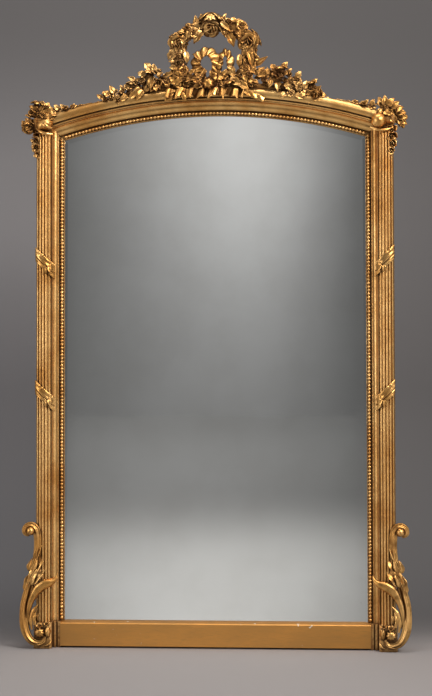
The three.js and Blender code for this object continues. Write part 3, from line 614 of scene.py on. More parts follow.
def cove_profile(width):
    """From the glass outwards: lip, seat of the beads, gentle slope, hollow, and the ridge by the column."""
    slope_start, hollow_start, ridge = 0.0172, width - 0.0165, width - 0.0030
    slope = [
        (slope_start + (hollow_start - slope_start) * t,
         0.0128 + 0.0040 * (t - 0.14 * math.sin(math.tau * t)))
        for t in [i / 8 for i in range(9)]
    ]
    hollow = [
        (hollow_start + 0.0012 + (ridge - hollow_start - 0.0012) * math.sin(t * math.pi / 2),
         COVE_DEPTH - (COVE_DEPTH - 0.0150) * math.cos(t * math.pi / 2))
        for t in [i / 10 for i in range(11)]
    ]
    return [
        (0, FIT), (0, 0.0034), (0.0006, 0.0044), (0.0020, 0.0046), (0.0028, BEAD_SEAT), (0.0146, BEAD_SEAT),
        (0.0164, 0.0110), *slope, *hollow,
        (width - 0.0006, COVE_DEPTH), (width, COVE_DEPTH - 0.0006), (width, FIT),
    ]


def build_coves():
    inner = Vector((SIGHT_X, 0, SPRING_Z))
    outer = Vector((COVE_X, 0, ARC_Z + math.sqrt((SIGHT_RADIUS + HEAD_COVE) ** 2 - COVE_X ** 2)))
    mitre = (outer - inner).normalized()
    across_mitre = Vector((-mitre.z, 0, mitre.x))
    profile = cove_profile(COVE_X - SIGHT_X)
    section = [at(SIGHT_X + outward, depth, BASE_Z + FIT) for outward, depth in profile]

    def upright():
        bar = straight_bar(section, Vector((0, 0, SPRING_Z + HEAD_COVE - BASE_Z)))
        return keep_beyond(bar, inner, -across_mitre)

    moulding_pair(upright, "cove_moulding", BURNISHED, "cove", crease=32)
    head = arched_bar(cove_profile(HEAD_COVE), SIGHT_RADIUS, COVE_X + 0.01)
    keep_beyond(head, inner, across_mitre)
    keep_beyond(head, Vector((-inner.x, 0, inner.z)), Vector((-across_mitre.x, 0, across_mitre.z)))
    moulding(head, "cove_moulding_head", BURNISHED, "cove_head", crease=32)


def bead_string(name, length, place, node, mirrored=False):
    """Turned beads on a cord-thin fillet, one after another along place(t)."""
    count = round(length / BEAD_PITCH)
    carving = Carving()
    bead = bmesh.new()
    bmesh.ops.create_uvsphere(bead, u_segments=10, v_segments=6, radius=BEAD_RADIUS)
    bmesh.ops.rotate(bead, matrix=Matrix.Rotation(math.pi / 2, 3, "X"), verts=bead.verts)
    for i in range(count):
        carving.add(bead, Matrix.Translation(place((i + 0.5) / count)), keep=True)
    bead.free()
    fillet = [place(i / 40) for i in range(41)]
    carving.add(limb(fillet, [0.0020, 0.0020], rows=60, columns=8, flatness=0.9, back=2.0))
    carving.finish(name, BEADED, node, mirrored=mirrored, rounding=0)


def build_beads():
    bead_x = SIGHT_X + BEAD_LINE
    bead_radius = SIGHT_RADIUS + BEAD_LINE
    depth = BEAD_SEAT + BEAD_RADIUS - 0.0004
    foot = BASE_Z + 0.004
    top = ARC_Z + math.sqrt(bead_radius ** 2 - bead_x ** 2)
    for side, name in reversed(SIDES):
        bead_string(
            f"beads_{name}_string", top - foot, lambda t: at(bead_x, depth, foot + (top - foot) * t),
            f"beads_{name}", mirrored=side < 0,
        )
    reach = math.asin((bead_x - 0.008) / bead_radius)

    def place(t):
        angle = reach * (2 * t - 1)
        return at(bead_radius * math.sin(angle), depth, ARC_Z + bead_radius * math.cos(angle))

    bead_string("beads_head_string", 2 * reach * bead_radius, place, "beads_head")


def build_columns():
    half = (FRAME_X - COVE_X) / 2
    rise = SHAFT_DEPTH - COLUMN_FLANK
    steps = REED_COUNT * 12
    outline = []
    for i in range(steps + 1):
        t = i / steps
        bulge = 1 - abs(2 * t - 1) ** 2.8
        reed = abs(math.sin(REED_COUNT * math.pi * t)) ** 0.75
        depth = COLUMN_FLANK + rise * bulge - REED_RELIEF * (1 - reed)
        outline.append((COLUMN_X - half + 2 * half * t, depth))
    outline = [(COLUMN_X - half, FIT), *outline, (COLUMN_X + half, FIT)]
    section = [at(x, depth, BASE_Z + FIT) for x, depth in outline]
    height = Vector((0, 0, SHAFT_TOP - BASE_Z - FIT))
    moulding_pair(lambda: straight_bar(section, height), "reeded_column", SHAFT, "column", crease=50)


def build_cornice():
    """Two thin fillets under a broad swelling band."""
    depth = CORNICE_DEPTH
    swell = [
        (0.0092 + 0.0282 * t, depth - 0.0085 * abs(1.75 * t - 0.75) ** 2.2)
        for t in [i / 16 for i in range(17)]
    ]
    profile = [
        (0, FIT), (0, depth - 0.012), (0.0010, depth - 0.0095), (0.0024, depth - 0.0082),
        (0.0044, depth - 0.0082), (0.0058, depth - 0.0095), (0.0066, depth - 0.0125),
        (0.0082, depth - 0.0125), *swell,
        (CORNICE_WIDTH, depth - 0.012), (CORNICE_WIDTH, FIT),
    ]
    bar = arched_bar(profile, CORNICE_INNER, FRAME_X, steps=84)
    keep_beyond(bar, Vector((COVE_X, 0, 0)), Vector((-1, 0, 0)))
    keep_beyond(bar, Vector((-COVE_X, 0, 0)), Vector((1, 0, 0)))
    moulding(bar, "cornice_band", BURNISHED, "cornice", crease=40)


def build_glass():
    """The plate, with a broad and very shallow bevel."""
    low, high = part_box("mirror_plate")
    arc = high.z - ARC_Z
    reach = high.x
    face_y = low.y + GLASS_SETBACK
    bm = bmesh.new()
    outline = [Vector((-reach, face_y, low.z)), Vector((reach, face_y, low.z))]
    for i in range(49):
        x = reach * (1 - i / 24)
        outline.append(Vector((x, face_y, ARC_Z + math.sqrt(arc ** 2 - x ** 2))))
    front = bm.faces.new([bm.verts.new(point) for point in outline])
    draw_out(bm, [front], (0, high.y - low.y - GLASS_SETBACK, 0), use_keep_orig=True)
    bmesh.ops.recalc_face_normals(bm, faces=bm.faces)
    bmesh.ops.inset_region(bm, faces=[front], thickness=BEVEL_WIDTH, depth=BEVEL_FALL)
    moulding(bm, "silvered_plate", looking_glass(), "mirror_plate", crease=0.2, slot="silvered_glass")


build_coves()
build_beads()
build_columns()
build_cornice()
build_glass()


# ---------------------------------------------------------------- placing of the carvings
def spot(x, depth, z):
    """A point in millimetres."""
    return at(x / 1000, depth / 1000, z / 1000)


def arc_height(x):
    """Height of the cornice's outer arc above x, in millimetres."""
    return 1000 * on_arc(CORNICE_OUTER, x / 1000, 0).z


def set_blooms(carving, rows, rng):
    """Each row: rings of petals, place in mm, radius in mm, and the way it faces (right, forward, up)."""
    for rings, place, radius, (right, forward, up) in rows:
        aim = Vector((right, -forward, up)).normalized()
        bloom(carving, facing(spot(*place) - aim * (0.0004 * radius), aim), rings, radius / 1000, rng)


def set_leaves(carving, rows, rng):
    """Each row: root and tip in mm, width in mm, curl and number of lobes."""
    for root, tip, width, curl, lobes in rows:
        run = spot(*tip) - spot(*root)
        face = Vector((rng.uniform(-0.35, 0.35), -1, rng.uniform(-0.1, 0.5)))
        form = leaf_form(run.length * 1.08, 1.15 * width / 1000, curl, lobes)
        carving.add(form, growing(spot(*root), run, face))


def fill(carving, points, count, spread, rng, depth=36):
    """Small leaves and buds strewn along a curve given in mm."""
    path = smooth_path([(point[0], depth, point[-1]) for point in points])
    for i in range(count):
        turn = rng.uniform(0, math.tau)
        reach = spread * rng.uniform(0.15, 1) ** 0.7
        outward = Vector((math.cos(turn), 0, math.sin(turn)))
        start = path((i + rng.random()) / count) + outward * (0.45 * reach)
        start.y += rng.uniform(-10, 10) * (1 - reach / spread) - 2
        tip = start + Vector((math.cos(turn), rng.uniform(0.1, 0.7), math.sin(turn))) * rng.uniform(16, 25)
        if i % 4 == 3:
            aim = (math.cos(turn) * 0.6, 0.9, math.sin(turn) * 0.6)
            seat = start.lerp(tip, 0.4)
            set_blooms(carving, ((rng.choice((BUD, BELL, ROSE)), seat, rng.uniform(9, 14), aim),), rng)
        else:
            leaf = (start, tip, rng.uniform(12, 18), rng.uniform(0.4, 1.2), rng.choice((1, 2)))
            set_leaves(carving, (leaf,), rng)


def hood(carving, root, aim, count, spread, size, curl=1.7):
    """Broad petals from one root. They come forward, fan out and arch over in the aim (right, up)."""
    down = Vector((aim[0], 0, aim[1])).normalized()
    side = Vector((-down.z, 0, down.x))
    for i in range(count):
        fan = math.radians(spread) * (2 * i / (count - 1) - 1)
        along = Vector((0, -math.cos(fan), 0)) + side * math.sin(fan) - down * 0.35
        longer = 1 + 0.08 * (i % 2)
        form = hood_petal(size * longer / 1000, 0.70 * size / 1000, curl)
        carving.add(form, growing(spot(*root), along, side * (0.7 * math.sin(fan)) - down))


def stem(carving, points, widths, **shape):
    carving.add(limb([spot(*point) for point in points], [width / 1000 for width in widths], **shape))


def dome(place, radii, flutes=0, dent=0.0, turn=0.0):
    """A round boss. Its flutes run from the crown to the rim."""
    def surface(across, along):
        angle = math.tau * across
        fall = math.pi * (0.02 + 0.98 * along)
        ring = math.sin(fall)
        groove = 1 - dent * ring * (1 - abs(math.sin(flutes * angle / 2))) ** 2
        return Vector((
            radii[0] * ring * groove * math.cos(angle), radii[1] * ring * groove * math.sin(angle),
            radii[2] * math.cos(fall),
        )) / 1000

    return skin(10, max(20, 4 * flutes), surface), facing(spot(*place), (0, -1, 0), turn)


# ---------------------------------------------------------------- crest
def build_wreath():
    rng = random.Random(11)
    carving = Carving()
    ring = [(-96, 1766), (-109, 1800), (-112, 1845), (-98, 1884), (-62, 1914), (-8, 1926), (52, 1918),
            (93, 1889), (111, 1846), (109, 1800), (96, 1766)]
    stem(carving, [(x, 26, z) for x, z in ring], [24, 24, 24, 22, 20, 20, 20, 22, 24, 24, 24], flatness=0.6,
         rows=40)
    set_blooms(carving, (
        (ROSE, (-8, 42, 1908), 33, (0.03, 0.80, -0.60)),
        (BUD, (-79, 32, 1914), 31, (-0.20, 0.55, 0.80)), (ROSE, (-58, 44, 1896), 21, (0.20, 0.90, -0.40)),
        (ROSE, (-106, 42, 1866), 37, (0.28, 0.88, -0.35)), (ROSE, (-108, 40, 1822), 27, (0.10, 0.90, -0.30)),
        (OPEN_FLOWER, (-120, 36, 1816), 22, (-0.50, 0.80, -0.20)),
        (BUD, (-102, 46, 1808), 18, (0.10, 0.80, -0.60)),
        (ROSE, (-90, 46, 1782), 21, (0.25, 0.95, 0.10)),
        (OPEN_FLOWER, (-106, 48, 1760), 20, (-0.10, 0.90, -0.40)),
        (BUD, (52, 36, 1932), 23, (0.20, 0.60, 0.80)),
        (ROSE, (91, 42, 1921), 23, (0.20, 0.95, 0.20)),
        (ROSE, (104, 42, 1866), 41, (-0.42, 0.85, -0.25)), (ROSE, (106, 42, 1818), 26, (-0.20, 0.90, -0.20)),
        (OPEN_FLOWER, (122, 40, 1806), 22, (0.30, 0.90, 0.10)),
        (ROSE, (98, 48, 1784), 20, (-0.10, 1.00, 0.10)),
        (BUD, (112, 48, 1764), 15, (0.40, 0.90, 0.20)),
    ), rng)
    set_leaves(carving, (
        ((-32, 34, 1906), (-60, 48, 1874), 24, 1.0, 2), ((-30, 30, 1918), (-46, 44, 1888), 22, 1.1, 2),
        ((24, 40, 1920), (42, 50, 1890), 23, 0.9, 2), ((42, 36, 1898), (66, 48, 1862), 26, 0.8, 2),
        ((22, 46, 1932), (56, 54, 1902), 15, 0.5, 1),
        ((-105, 26, 1882), (-128, 30, 1904), 17, 0.8, 1), ((60, 30, 1922), (80, 36, 1944), 13, 0.6, 1),
        ((108, 46, 1838), (124, 54, 1792), 17, 0.7, 2), ((122, 40, 1842), (134, 44, 1800), 15, 0.6, 1),
        ((128, 36, 1796), (170, 46, 1817), 18, -0.4, 1), ((-84, 42, 1842), (-80, 48, 1806), 17, 0.8, 2),
        ((84, 42, 1830), (80, 48, 1790), 17, 0.8, 2), ((-48, 26, 1926), (-58, 40, 1952), 18, 0.9, 1),
        ((28, 26, 1936), (38, 36, 1960), 14, 0.8, 1), ((-124, 32, 1850), (-141, 36, 1822), 18, 0.8, 2),
        ((-118, 34, 1790), (-136, 40, 1764), 18, 0.8, 2), ((122, 36, 1890), (142, 40, 1862), 20, 0.8, 2),
        ((-70, 40, 1908), (-82, 48, 1880), 17, 0.7, 1), ((72, 38, 1906), (96, 46, 1882), 18, 0.8, 2),
    ), rng)
    hood(carving, (-8, 14, 1959), (0.0, -1.0), 7, 82, 60, curl=1.65)
    hood(carving, (-10, 26, 1948), (0.1, -1.0), 5, 74, 47, curl=1.55)
    hood(carving, (-112, 20, 1900), (0.15, -1.0), 5, 76, 32, curl=1.2)
    hood(carving, (136, 18, 1890), (-0.8, -0.5), 6, 78, 34, curl=1.1)
    fill(carving, ring, 130, 27, rng)
    carving.finish("wreath_of_roses", CARVED, "crest_wreath")


def build_bow():
    loops = {
        "left": ([(4, 40, 1768), (12, 42, 1796), (4, 44, 1826), (-18, 46, 1841), (-42, 44, 1830),
                  (-54, 42, 1806), (-46, 42, 1782), (-22, 42, 1768)], (-22, 1806), 37, 9),
        "right": ([(10, 38, 1768), (20, 38, 1796), (24, 40, 1822), (38, 43, 1838), (50, 43, 1826),
                   (54, 44, 1800), (50, 42, 1778), (34, 40, 1764)], (36, 1804), 29, 8),
    }
    for side, (points, (middle_x, middle_z), width, folds) in loops.items():
        ways = []
        for x, _, z in points:
            out = Vector((x - middle_x, 0, z - middle_z)).normalized()
            ways.append(out * 0.90 + Vector((0, 0.42, 0)))
        ribbon = ribbon_form([spot(*point) for point in points], ways, width / 1000, rows=96, columns=5,
                             crimp=0.0085, folds=folds, thickness=0.0024)
        carving = Carving()
        carving.add(ribbon)
        rng = random.Random(5)
        if side == "left":
            set_blooms(carving, ((OPEN_FLOWER, (16, 50, 1768), 21, (0.1, 0.95, 0.3)),), rng)
            tail = [(-20, 42, 1776), (-40, 46, 1784), (-58, 48, 1776)]
            knot = ((-38, 42, 1816), (-60, 48, 1838), 18, 0.9, 1)
        else:
            tail = [(30, 42, 1770), (50, 46, 1776), (62, 48, 1764)]
            knot = ((24, 44, 1800), (14, 48, 1784), 12, 0.9, 1)
        carving.add(ribbon_form([spot(*point) for point in tail], [(0.3, 0.3, 1)] * 3, 0.017, rows=12,
                                crimp=0.0015, folds=2))
        set_leaves(carving, (knot,), rng)
        carving.finish(f"ribbon_bow_{side}", CARVED, f"crest_bow_{side}")


def build_mound():
    rng = random.Random(21)
    carving = Carving()
    arc = [(x, 26, arc_height(x) + 13) for x in (-125, -80, -30, 30, 80, 125)]
    stem(carving, arc, [10, 16, 20, 20, 16, 10], flatness=0.9)
    set_blooms(carving, (
        (BUD, (-15, 44, 1750), 22, (0.0, 0.80, 0.60)), (OPEN_FLOWER, (45, 48, 1752), 20, (0.1, 0.9, 0.4)),
        (ROSE, (-52, 46, 1756), 18, (-0.3, 0.9, 0.3)), (BUD, (20, 50, 1738), 14, (0.3, 0.9, 0.1)),
        (OPEN_FLOWER, (-84, 44, 1744), 17, (-0.3, 0.9, 0.2)), (BUD, (76, 44, 1760), 15, (0.5, 0.8, 0.3)),
    ), rng)
    set_leaves(carving, (
        ((-34, 42, 1752), (-74, 54, 1748), 19, 0.5, 2), ((-28, 46, 1738), (-60, 56, 1730), 19, 0.6, 2),
        ((50, 42, 1752), (84, 58, 1738), 24, 0.5, 2), ((70, 42, 1742), (110, 54, 1724), 22, 0.5, 2),
        ((16, 44, 1746), (34, 58, 1728), 14, 0.6, 1), ((-96, 38, 1760), (-122, 48, 1738), 18, 0.7, 2),
        ((0, 44, 1764), (-8, 56, 1776), 14, 0.8, 1), ((92, 38, 1764), (132, 48, 1742), 15, 0.6, 2),
        ((30, 44, 1766), (40, 54, 1780), 13, 0.8, 1), ((-70, 42, 1768), (-60, 52, 1784), 15, 0.8, 2),
        ((66, 42, 1770), (62, 52, 1788), 14, 0.8, 2), ((100, 38, 1752), (138, 44, 1736), 14, 0.5, 1),
    ), rng)
    carving.add(*dome((-14, 55, 1738), (19, 18, 15), flutes=7, dent=0.32))
    hood(carving, (48, 40, 1744), (0.35, -1.0), 3, 58, 30, curl=1.4)
    hood(carving, (-52, 40, 1748), (-0.4, -1.0), 3, 58, 28, curl=1.4)
    fill(carving, [(x, z + 8) for x, _, z in arc], 40, 19, rng, depth=40)
    carving.finish("buds_under_the_bow", CARVED, "crest_mound")


def build_ruffle():
    """A pleated ribbon laid along the cornice, its folds slanting and opening towards the lower edge."""
    left, right, pleats = -0.146, 0.098, 7

    def place(across, along):
        drop = 1 - across
        swing = math.tau * pleats * along + 1.5 * drop
        wave = math.tanh(2.2 * (0.45 + math.sin(swing + 0.5 * math.sin(2.3 * swing))))
        x = left + (right - left) * along - 0.006 * drop * math.cos(0.7 * swing)
        top = on_arc(CORNICE_OUTER, x, 0).z - 0.001 + 0.003 * math.sin(0.9 * swing)
        length = 0.031 + 0.005 * wave + 0.004 * math.sin(1.7 * swing + 1)
        depth = CORNICE_DEPTH + 0.007 + (0.0022 + 0.0105 * drop ** 0.8) * wave + 0.007 * drop
        return at(x, depth, top - length * drop)

    carving = Carving()
    carving.add(padded(skin(pleats * 14, 6, place), (0.0006, 0.0026, 0)))
    rng = random.Random(8)
    for points, width, folds in (
        ([(92, 50, 1716), (112, 50, 1706), (136, 48, 1698), (158, 46, 1688)], 0.020, 3),
        ([(-126, 50, 1718), (-134, 52, 1706), (-138, 50, 1688)], 0.026, 2),
        ([(-96, 54, 1712), (-90, 56, 1700), (-84, 54, 1686)], 0.015, 1),
    ):
        ways = [(0.3, 0.1, 1)] * 4 if points[0][0] > 0 else [(1, 0.1, 0.2)] * 3
        carving.add(ribbon_form([spot(*point) for point in points], ways, width, rows=18, columns=4,
                                crimp=0.003, folds=folds))
    set_leaves(carving, (((96, 48, 1716), (118, 54, 1700), 17, 0.5, 2),), rng)
    carving.finish("pleated_ruffle", CARVED, "crest_ruffle")


def garland_stem(carving, side):
    points = []
    for x in (105, 160, 220, 280, 340):
        fall = 0.02 * (x - 105)
        points.append((side * x, 24 - fall, arc_height(x) + 9 - fall))
    stem(carving, points, [10, 9, 8, 7, 4], flatness=0.9)


def build_garlands():
    rng = random.Random(31)
    left = Carving()
    garland_stem(left, -1)
    set_blooms(left, (
        (BUD, (-347, 30, 1689), 12, (-0.6, 0.8, -0.3)), (BUD, (-335, 36, 1697), 15, (-0.3, 0.9, 0.1)),
        (BUD, (-318, 40, 1703), 13, (0.1, 1.0, 0.1)), (BUD, (-296, 40, 1692), 15, (0.1, 0.9, -0.3)),
        (ROSE, (-249, 36, 1751), 19, (-0.2, 0.8, 0.5)),
        (OPEN_FLOWER, (-252, 42, 1722), 27, (-0.2, 0.95, 0.1)),
        (BELL, (-282, 38, 1722), 19, (-0.4, 0.8, 0.3)),
        (OPEN_FLOWER, (-205, 42, 1748), 34, (-0.35, 0.9, 0.1)),
        (BUD, (-172, 34, 1782), 21, (0.05, 0.45, 0.9)), (BELL, (-171, 42, 1748), 21, (0.05, 0.9, -0.35)),
        (BUD, (-146, 40, 1750), 14, (0.6, 0.8, 0.1)), (ROSE, (-222, 38, 1760), 16, (-0.5, 0.8, 0.2)),
        (OPEN_FLOWER, (-312, 36, 1722), 18, (-0.3, 0.8, 0.5)), (ROSE, (-128, 36, 1758), 17, (-0.2, 0.9, 0.1)),
    ), rng)
    set_leaves(left, (
        ((-190, 38, 1782), (-212, 48, 1808), 21, 0.8, 2), ((-180, 38, 1778), (-186, 48, 1804), 18, 0.9, 1),
        ((-188, 40, 1768), (-196, 54, 1728), 22, 0.5, 2),
        ((-176, 42, 1766), (-154, 50, 1774), 14, -0.4, 1), ((-218, 40, 1724), (-238, 52, 1694), 18, 0.5, 2),
        ((-212, 42, 1766), (-232, 48, 1780), 20, 0.8, 2), ((-244, 38, 1752), (-264, 44, 1768), 16, 0.7, 1),
        ((-308, 36, 1716), (-322, 42, 1740), 17, 0.6, 1), ((-324, 36, 1708), (-340, 42, 1722), 18, 0.7, 2),
        ((-270, 38, 1712), (-286, 46, 1690), 18, 0.6, 2), ((-262, 36, 1728), (-276, 44, 1742), 17, 0.8, 1),
        ((-158, 36, 1756), (-136, 44, 1738), 15, 0.5, 2), ((-228, 40, 1732), (-262, 48, 1694), 17, 0.6, 2),
        ((-292, 36, 1710), (-312, 42, 1688), 15, 0.6, 2), ((-182, 38, 1740), (-176, 46, 1722), 15, 0.7, 2),
        ((-198, 36, 1742), (-212, 44, 1718), 16, 0.7, 2), ((-150, 34, 1768), (-128, 42, 1776), 15, 0.6, 1),
    ), rng)
    fill(left, ((-345, 1694), (-290, 1708), (-240, 1730), (-190, 1752), (-130, 1762)), 58, 24, rng, depth=32)
    hood(left, (-200, 32, 1782), (-0.1, -1.0), 4, 64, 30, curl=1.4)
    hood(left, (-254, 32, 1748), (-0.2, -1.0), 3, 60, 24, curl=1.4)
    left.finish("garland_left", CARVED, "crest_spray_left")

    right = Carving()
    garland_stem(right, 1)
    set_blooms(right, (
        (BELL, (206, 36, 1766), 36, (-0.05, 0.75, 0.45)),
        (OPEN_FLOWER, (208, 44, 1744), 26, (0.0, 1.0, -0.1)),
        (ROSE, (255, 38, 1750), 22, (-0.1, 0.9, 0.4)), (ROSE, (266, 44, 1727), 17, (0.1, 1.0, 0.0)),
        (ROSE, (302, 38, 1728), 24, (0.1, 0.85, 0.5)), (OPEN_FLOWER, (289, 42, 1702), 18, (0.0, 1.0, -0.2)),
        (BUD, (316, 38, 1700), 27, (0.75, 0.55, -0.45)), (BELL, (232, 38, 1766), 20, (0.2, 0.7, 0.6)),
        (BUD, (167, 40, 1744), 17, (0.0, 0.7, -0.6)), (ROSE, (240, 42, 1706), 17, (0.0, 1.0, -0.1)),
        (ROSE, (150, 38, 1772), 16, (0.1, 0.9, 0.2)), (OPEN_FLOWER, (176, 40, 1766), 18, (0.0, 0.9, 0.1)),
    ), rng)
    set_leaves(right, (
        ((200, 40, 1744), (199, 54, 1716), 17, 0.5, 1), ((220, 42, 1738), (240, 52, 1716), 17, 0.5, 2),
        ((226, 38, 1762), (240, 46, 1784), 17, 0.7, 1), ((258, 36, 1756), (270, 44, 1774), 17, 0.8, 1),
        ((306, 36, 1734), (318, 44, 1750), 16, 0.8, 1), ((136, 40, 1762), (160, 48, 1762), 11, 0.3, 1),
        ((224, 40, 1708), (206, 50, 1692), 17, 0.5, 2), ((256, 40, 1706), (274, 48, 1690), 17, 0.6, 2),
        ((190, 38, 1776), (182, 46, 1798), 17, 0.8, 2),
        ((136, 34, 1762), (158, 42, 1792), 17, 0.7, 1), ((150, 34, 1762), (176, 42, 1784), 17, 0.7, 2),
        ((216, 36, 1784), (228, 46, 1804), 17, 0.9, 1),
        ((282, 38, 1720), (288, 46, 1744), 17, 0.7, 2), ((318, 34, 1696), (342, 40, 1680), 14, 0.5, 1),
        ((180, 38, 1750), (174, 48, 1728), 16, 0.6, 2), ((282, 40, 1708), (268, 50, 1694), 15, 0.6, 1),
    ), rng)
    fill(right, ((335, 1690), (290, 1708), (240, 1728), (190, 1750), (130, 1766)), 58, 24, rng, depth=32)
    hood(right, (206, 28, 1790), (0.1, -1.0), 4, 66, 32, curl=1.4)
    hood(right, (302, 30, 1742), (0.2, -1.0), 3, 60, 26, curl=1.4)
    right.finish("garland_right", CARVED, "crest_spray_right")


# ---------------------------------------------------------------- corners
def build_corner_blocks():
    """The swelling band of the head, returned across the top of each column."""
    low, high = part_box("corner_block_right")
    depth = CARCASS_Y - low.y
    tall = high.z - low.z
    swell = [
        (0.30 + 0.66 * t, depth - 0.012 * abs(1.9 * t - 0.9) ** 2.2)
        for t in [i / 12 for i in range(13)]
    ]
    profile = [
        (0, FIT), (0, depth - 0.012), (0.02, depth - 0.009), (0.08, depth - 0.006), (0.14, depth - 0.009),
        (0.16, depth - 0.013), (0.20, depth - 0.013), (0.22, depth - 0.009), (0.26, depth - 0.007),
        (0.29, depth - 0.010), *swell, (1, depth - 0.014), (1, FIT),
    ]
    section = [at(low.x, forward, low.z + tall * rise) for rise, forward in profile]
    across = Vector((high.x - low.x, 0, 0))
    moulding_pair(lambda: straight_bar(section, across), "corner_return", BURNISHED, "corner_block",
                  crease=40)


def build_corners():
    build_corner_blocks()
    rng = random.Random(41)
    shell = Carving()
    shell.add(*dome((-527, 38, 1621), (30, 19, 26), flutes=6, dent=0.13, turn=0.45))
    stem(shell, [(-552, 42, 1610), (-538, 50, 1598), (-520, 52, 1591), (-501, 44, 1590)], [3, 5, 5, 3],
         flatness=0.9)
    stem(shell, [(-553, 40, 1634), (-538, 54, 1626), (-519, 60, 1614), (-502, 48, 1608)], [3, 5, 6, 3],
         flatness=0.8)
    shell.finish("corner_cushion_left", BURNISHED, "corner_shell_left")
    shell = Carving()
    shell.add(*dome((509, 40, 1618), (24, 25, 26)))
    stem(shell, [(483, 40, 1598), (502, 50, 1589), (528, 51, 1588), (552, 44, 1598)], [3, 4.5, 4.5, 3],
         flatness=0.9)
    shell.finish("corner_boss_right", BURNISHED, "corner_shell_right")

    spray = Carving()
    stem(spray, [(-520, 22, 1628), (-536, 26, 1648), (-545, 26, 1676)], [12, 10, 6], flatness=0.9)
    stem(spray, [(-532, 22, 1624), (-556, 24, 1614), (-576, 24, 1606)], [10, 9, 7], flatness=0.9)
    set_blooms(spray, (
        (OPEN_FLOWER, (-544, 40, 1682), 26, (-0.15, 0.9, 0.35)),
        (ROSE, (-580, 36, 1612), 25, (0.05, 0.90, -0.40)),
        (BELL, (-566, 38, 1660), 18, (-0.50, 0.80, 0.20)), (BUD, (-516, 40, 1672), 16, (0.40, 0.80, 0.40)),
        (BUD, (-546, 40, 1652), 14, (-0.1, 0.9, 0.2)), (OPEN_FLOWER, (-547, 36, 1598), 16, (-0.1, 0.9, -0.2)),
    ), rng)
    set_leaves(spray, (
        ((-526, 36, 1646), (-490, 50, 1668), 32, 1.6, 2), ((-540, 28, 1644), (-586, 34, 1661), 27, 0.9, 2),
        ((-530, 38, 1650), (-498, 52, 1640), 17, 0.7, 2), ((-512, 34, 1660), (-486, 42, 1650), 18, 1.0, 1),
        ((-560, 28, 1626), (-590, 34, 1640), 20, 0.9, 2), ((-556, 30, 1668), (-574, 36, 1684), 18, 0.9, 1),
        ((-528, 32, 1664), (-514, 40, 1690), 20, 0.9, 2), ((-544, 32, 1640), (-560, 44, 1628), 17, 0.7, 2),
        ((-562, 26, 1604), (-548, 36, 1584), 17, 0.7, 2), ((-590, 26, 1624), (-603, 32, 1604), 15, 0.8, 1),
    ), rng)
    hood(spray, (-548, 30, 1692), (-0.2, -1.0), 3, 62, 30, curl=1.4)
    hood(spray, (-582, 26, 1630), (0.1, -1.0), 4, 66, 30, curl=1.5)
    fill(spray, ((-584, 1608), (-560, 1634), (-544, 1662), (-516, 1658)), 30, 19, rng)
    spray.finish("corner_flowers_left", CARVED, "corner_spray_left")
    spray = Carving()
    stem(spray, [(512, 22, 1630), (530, 26, 1648), (545, 26, 1668)], [13, 11, 8], flatness=0.9)
    stem(spray, [(534, 24, 1648), (562, 28, 1640), (582, 30, 1616), (584, 32, 1596)], [10, 9, 8, 4],
         flatness=0.9)
    set_blooms(spray, (
        (ROSE, (524, 40, 1656), 17, (-0.35, 0.85, -0.3)), (BUD, (562, 40, 1650), 17, (0.3, 0.8, 0.5)),
        (OPEN_FLOWER, (582, 34, 1634), 21, (0.4, 0.85, 0.3)), (BUD, (545, 40, 1628), 14, (0.0, 0.8, -0.4)),
    ), rng)
    set_leaves(spray, (
        ((518, 34, 1662), (512, 50, 1688), 20, 1.2, 1), ((526, 36, 1664), (530, 54, 1690), 20, 1.3, 1),
        ((536, 38, 1662), (550, 56, 1684), 20, 1.3, 1), ((546, 38, 1656), (566, 56, 1673), 20, 1.3, 1),
        ((556, 38, 1648), (578, 54, 1660), 20, 1.3, 1), ((564, 36, 1640), (587, 52, 1645), 20, 1.3, 1),
        ((570, 34, 1630), (592, 50, 1628), 19, 1.2, 1), ((572, 32, 1620), (592, 46, 1610), 18, 1.1, 1),
        ((540, 32, 1640), (562, 46, 1612), 22, 0.9, 2), ((526, 40, 1648), (540, 56, 1636), 18, 0.9, 1),
        ((532, 34, 1646), (552, 48, 1640), 20, 0.8, 2), ((520, 38, 1650), (504, 48, 1642), 17, 0.8, 2),
    ), rng)
    fill(spray, ((522, 1664), (546, 1656), (566, 1640), (580, 1622)), 24, 18, rng)
    spray.finish("corner_leaves_right", CARVED, "corner_spray_right")

    strings = {
        "left": (BELL, BURNISHED, ((548, 1588, 22), (554, 1571, 25), (553, 1550, 24), (548, 1529, 18))),
        "right": (HUSK, BEADED, ((546, 1594, 28), (550, 1572, 27), (548, 1549, 26), (545, 1527, 20))),
    }
    for side, name in SIDES:
        rings, material, drops = strings[name]
        husks = Carving()
        stem(husks, [(side * 546, 22, 1600), (side * 552, 24, 1560), (side * 549, 20, 1512)], [8, 7, 3],
             flatness=0.9)
        aim = (side * 0.25, 0.85, -0.50)
        set_blooms(husks, [(rings, (side * x, 40, z), size, aim) for x, z, size in drops], rng)
        husks.finish(f"husk_string_{name}", material, f"husk_drop_{name}")

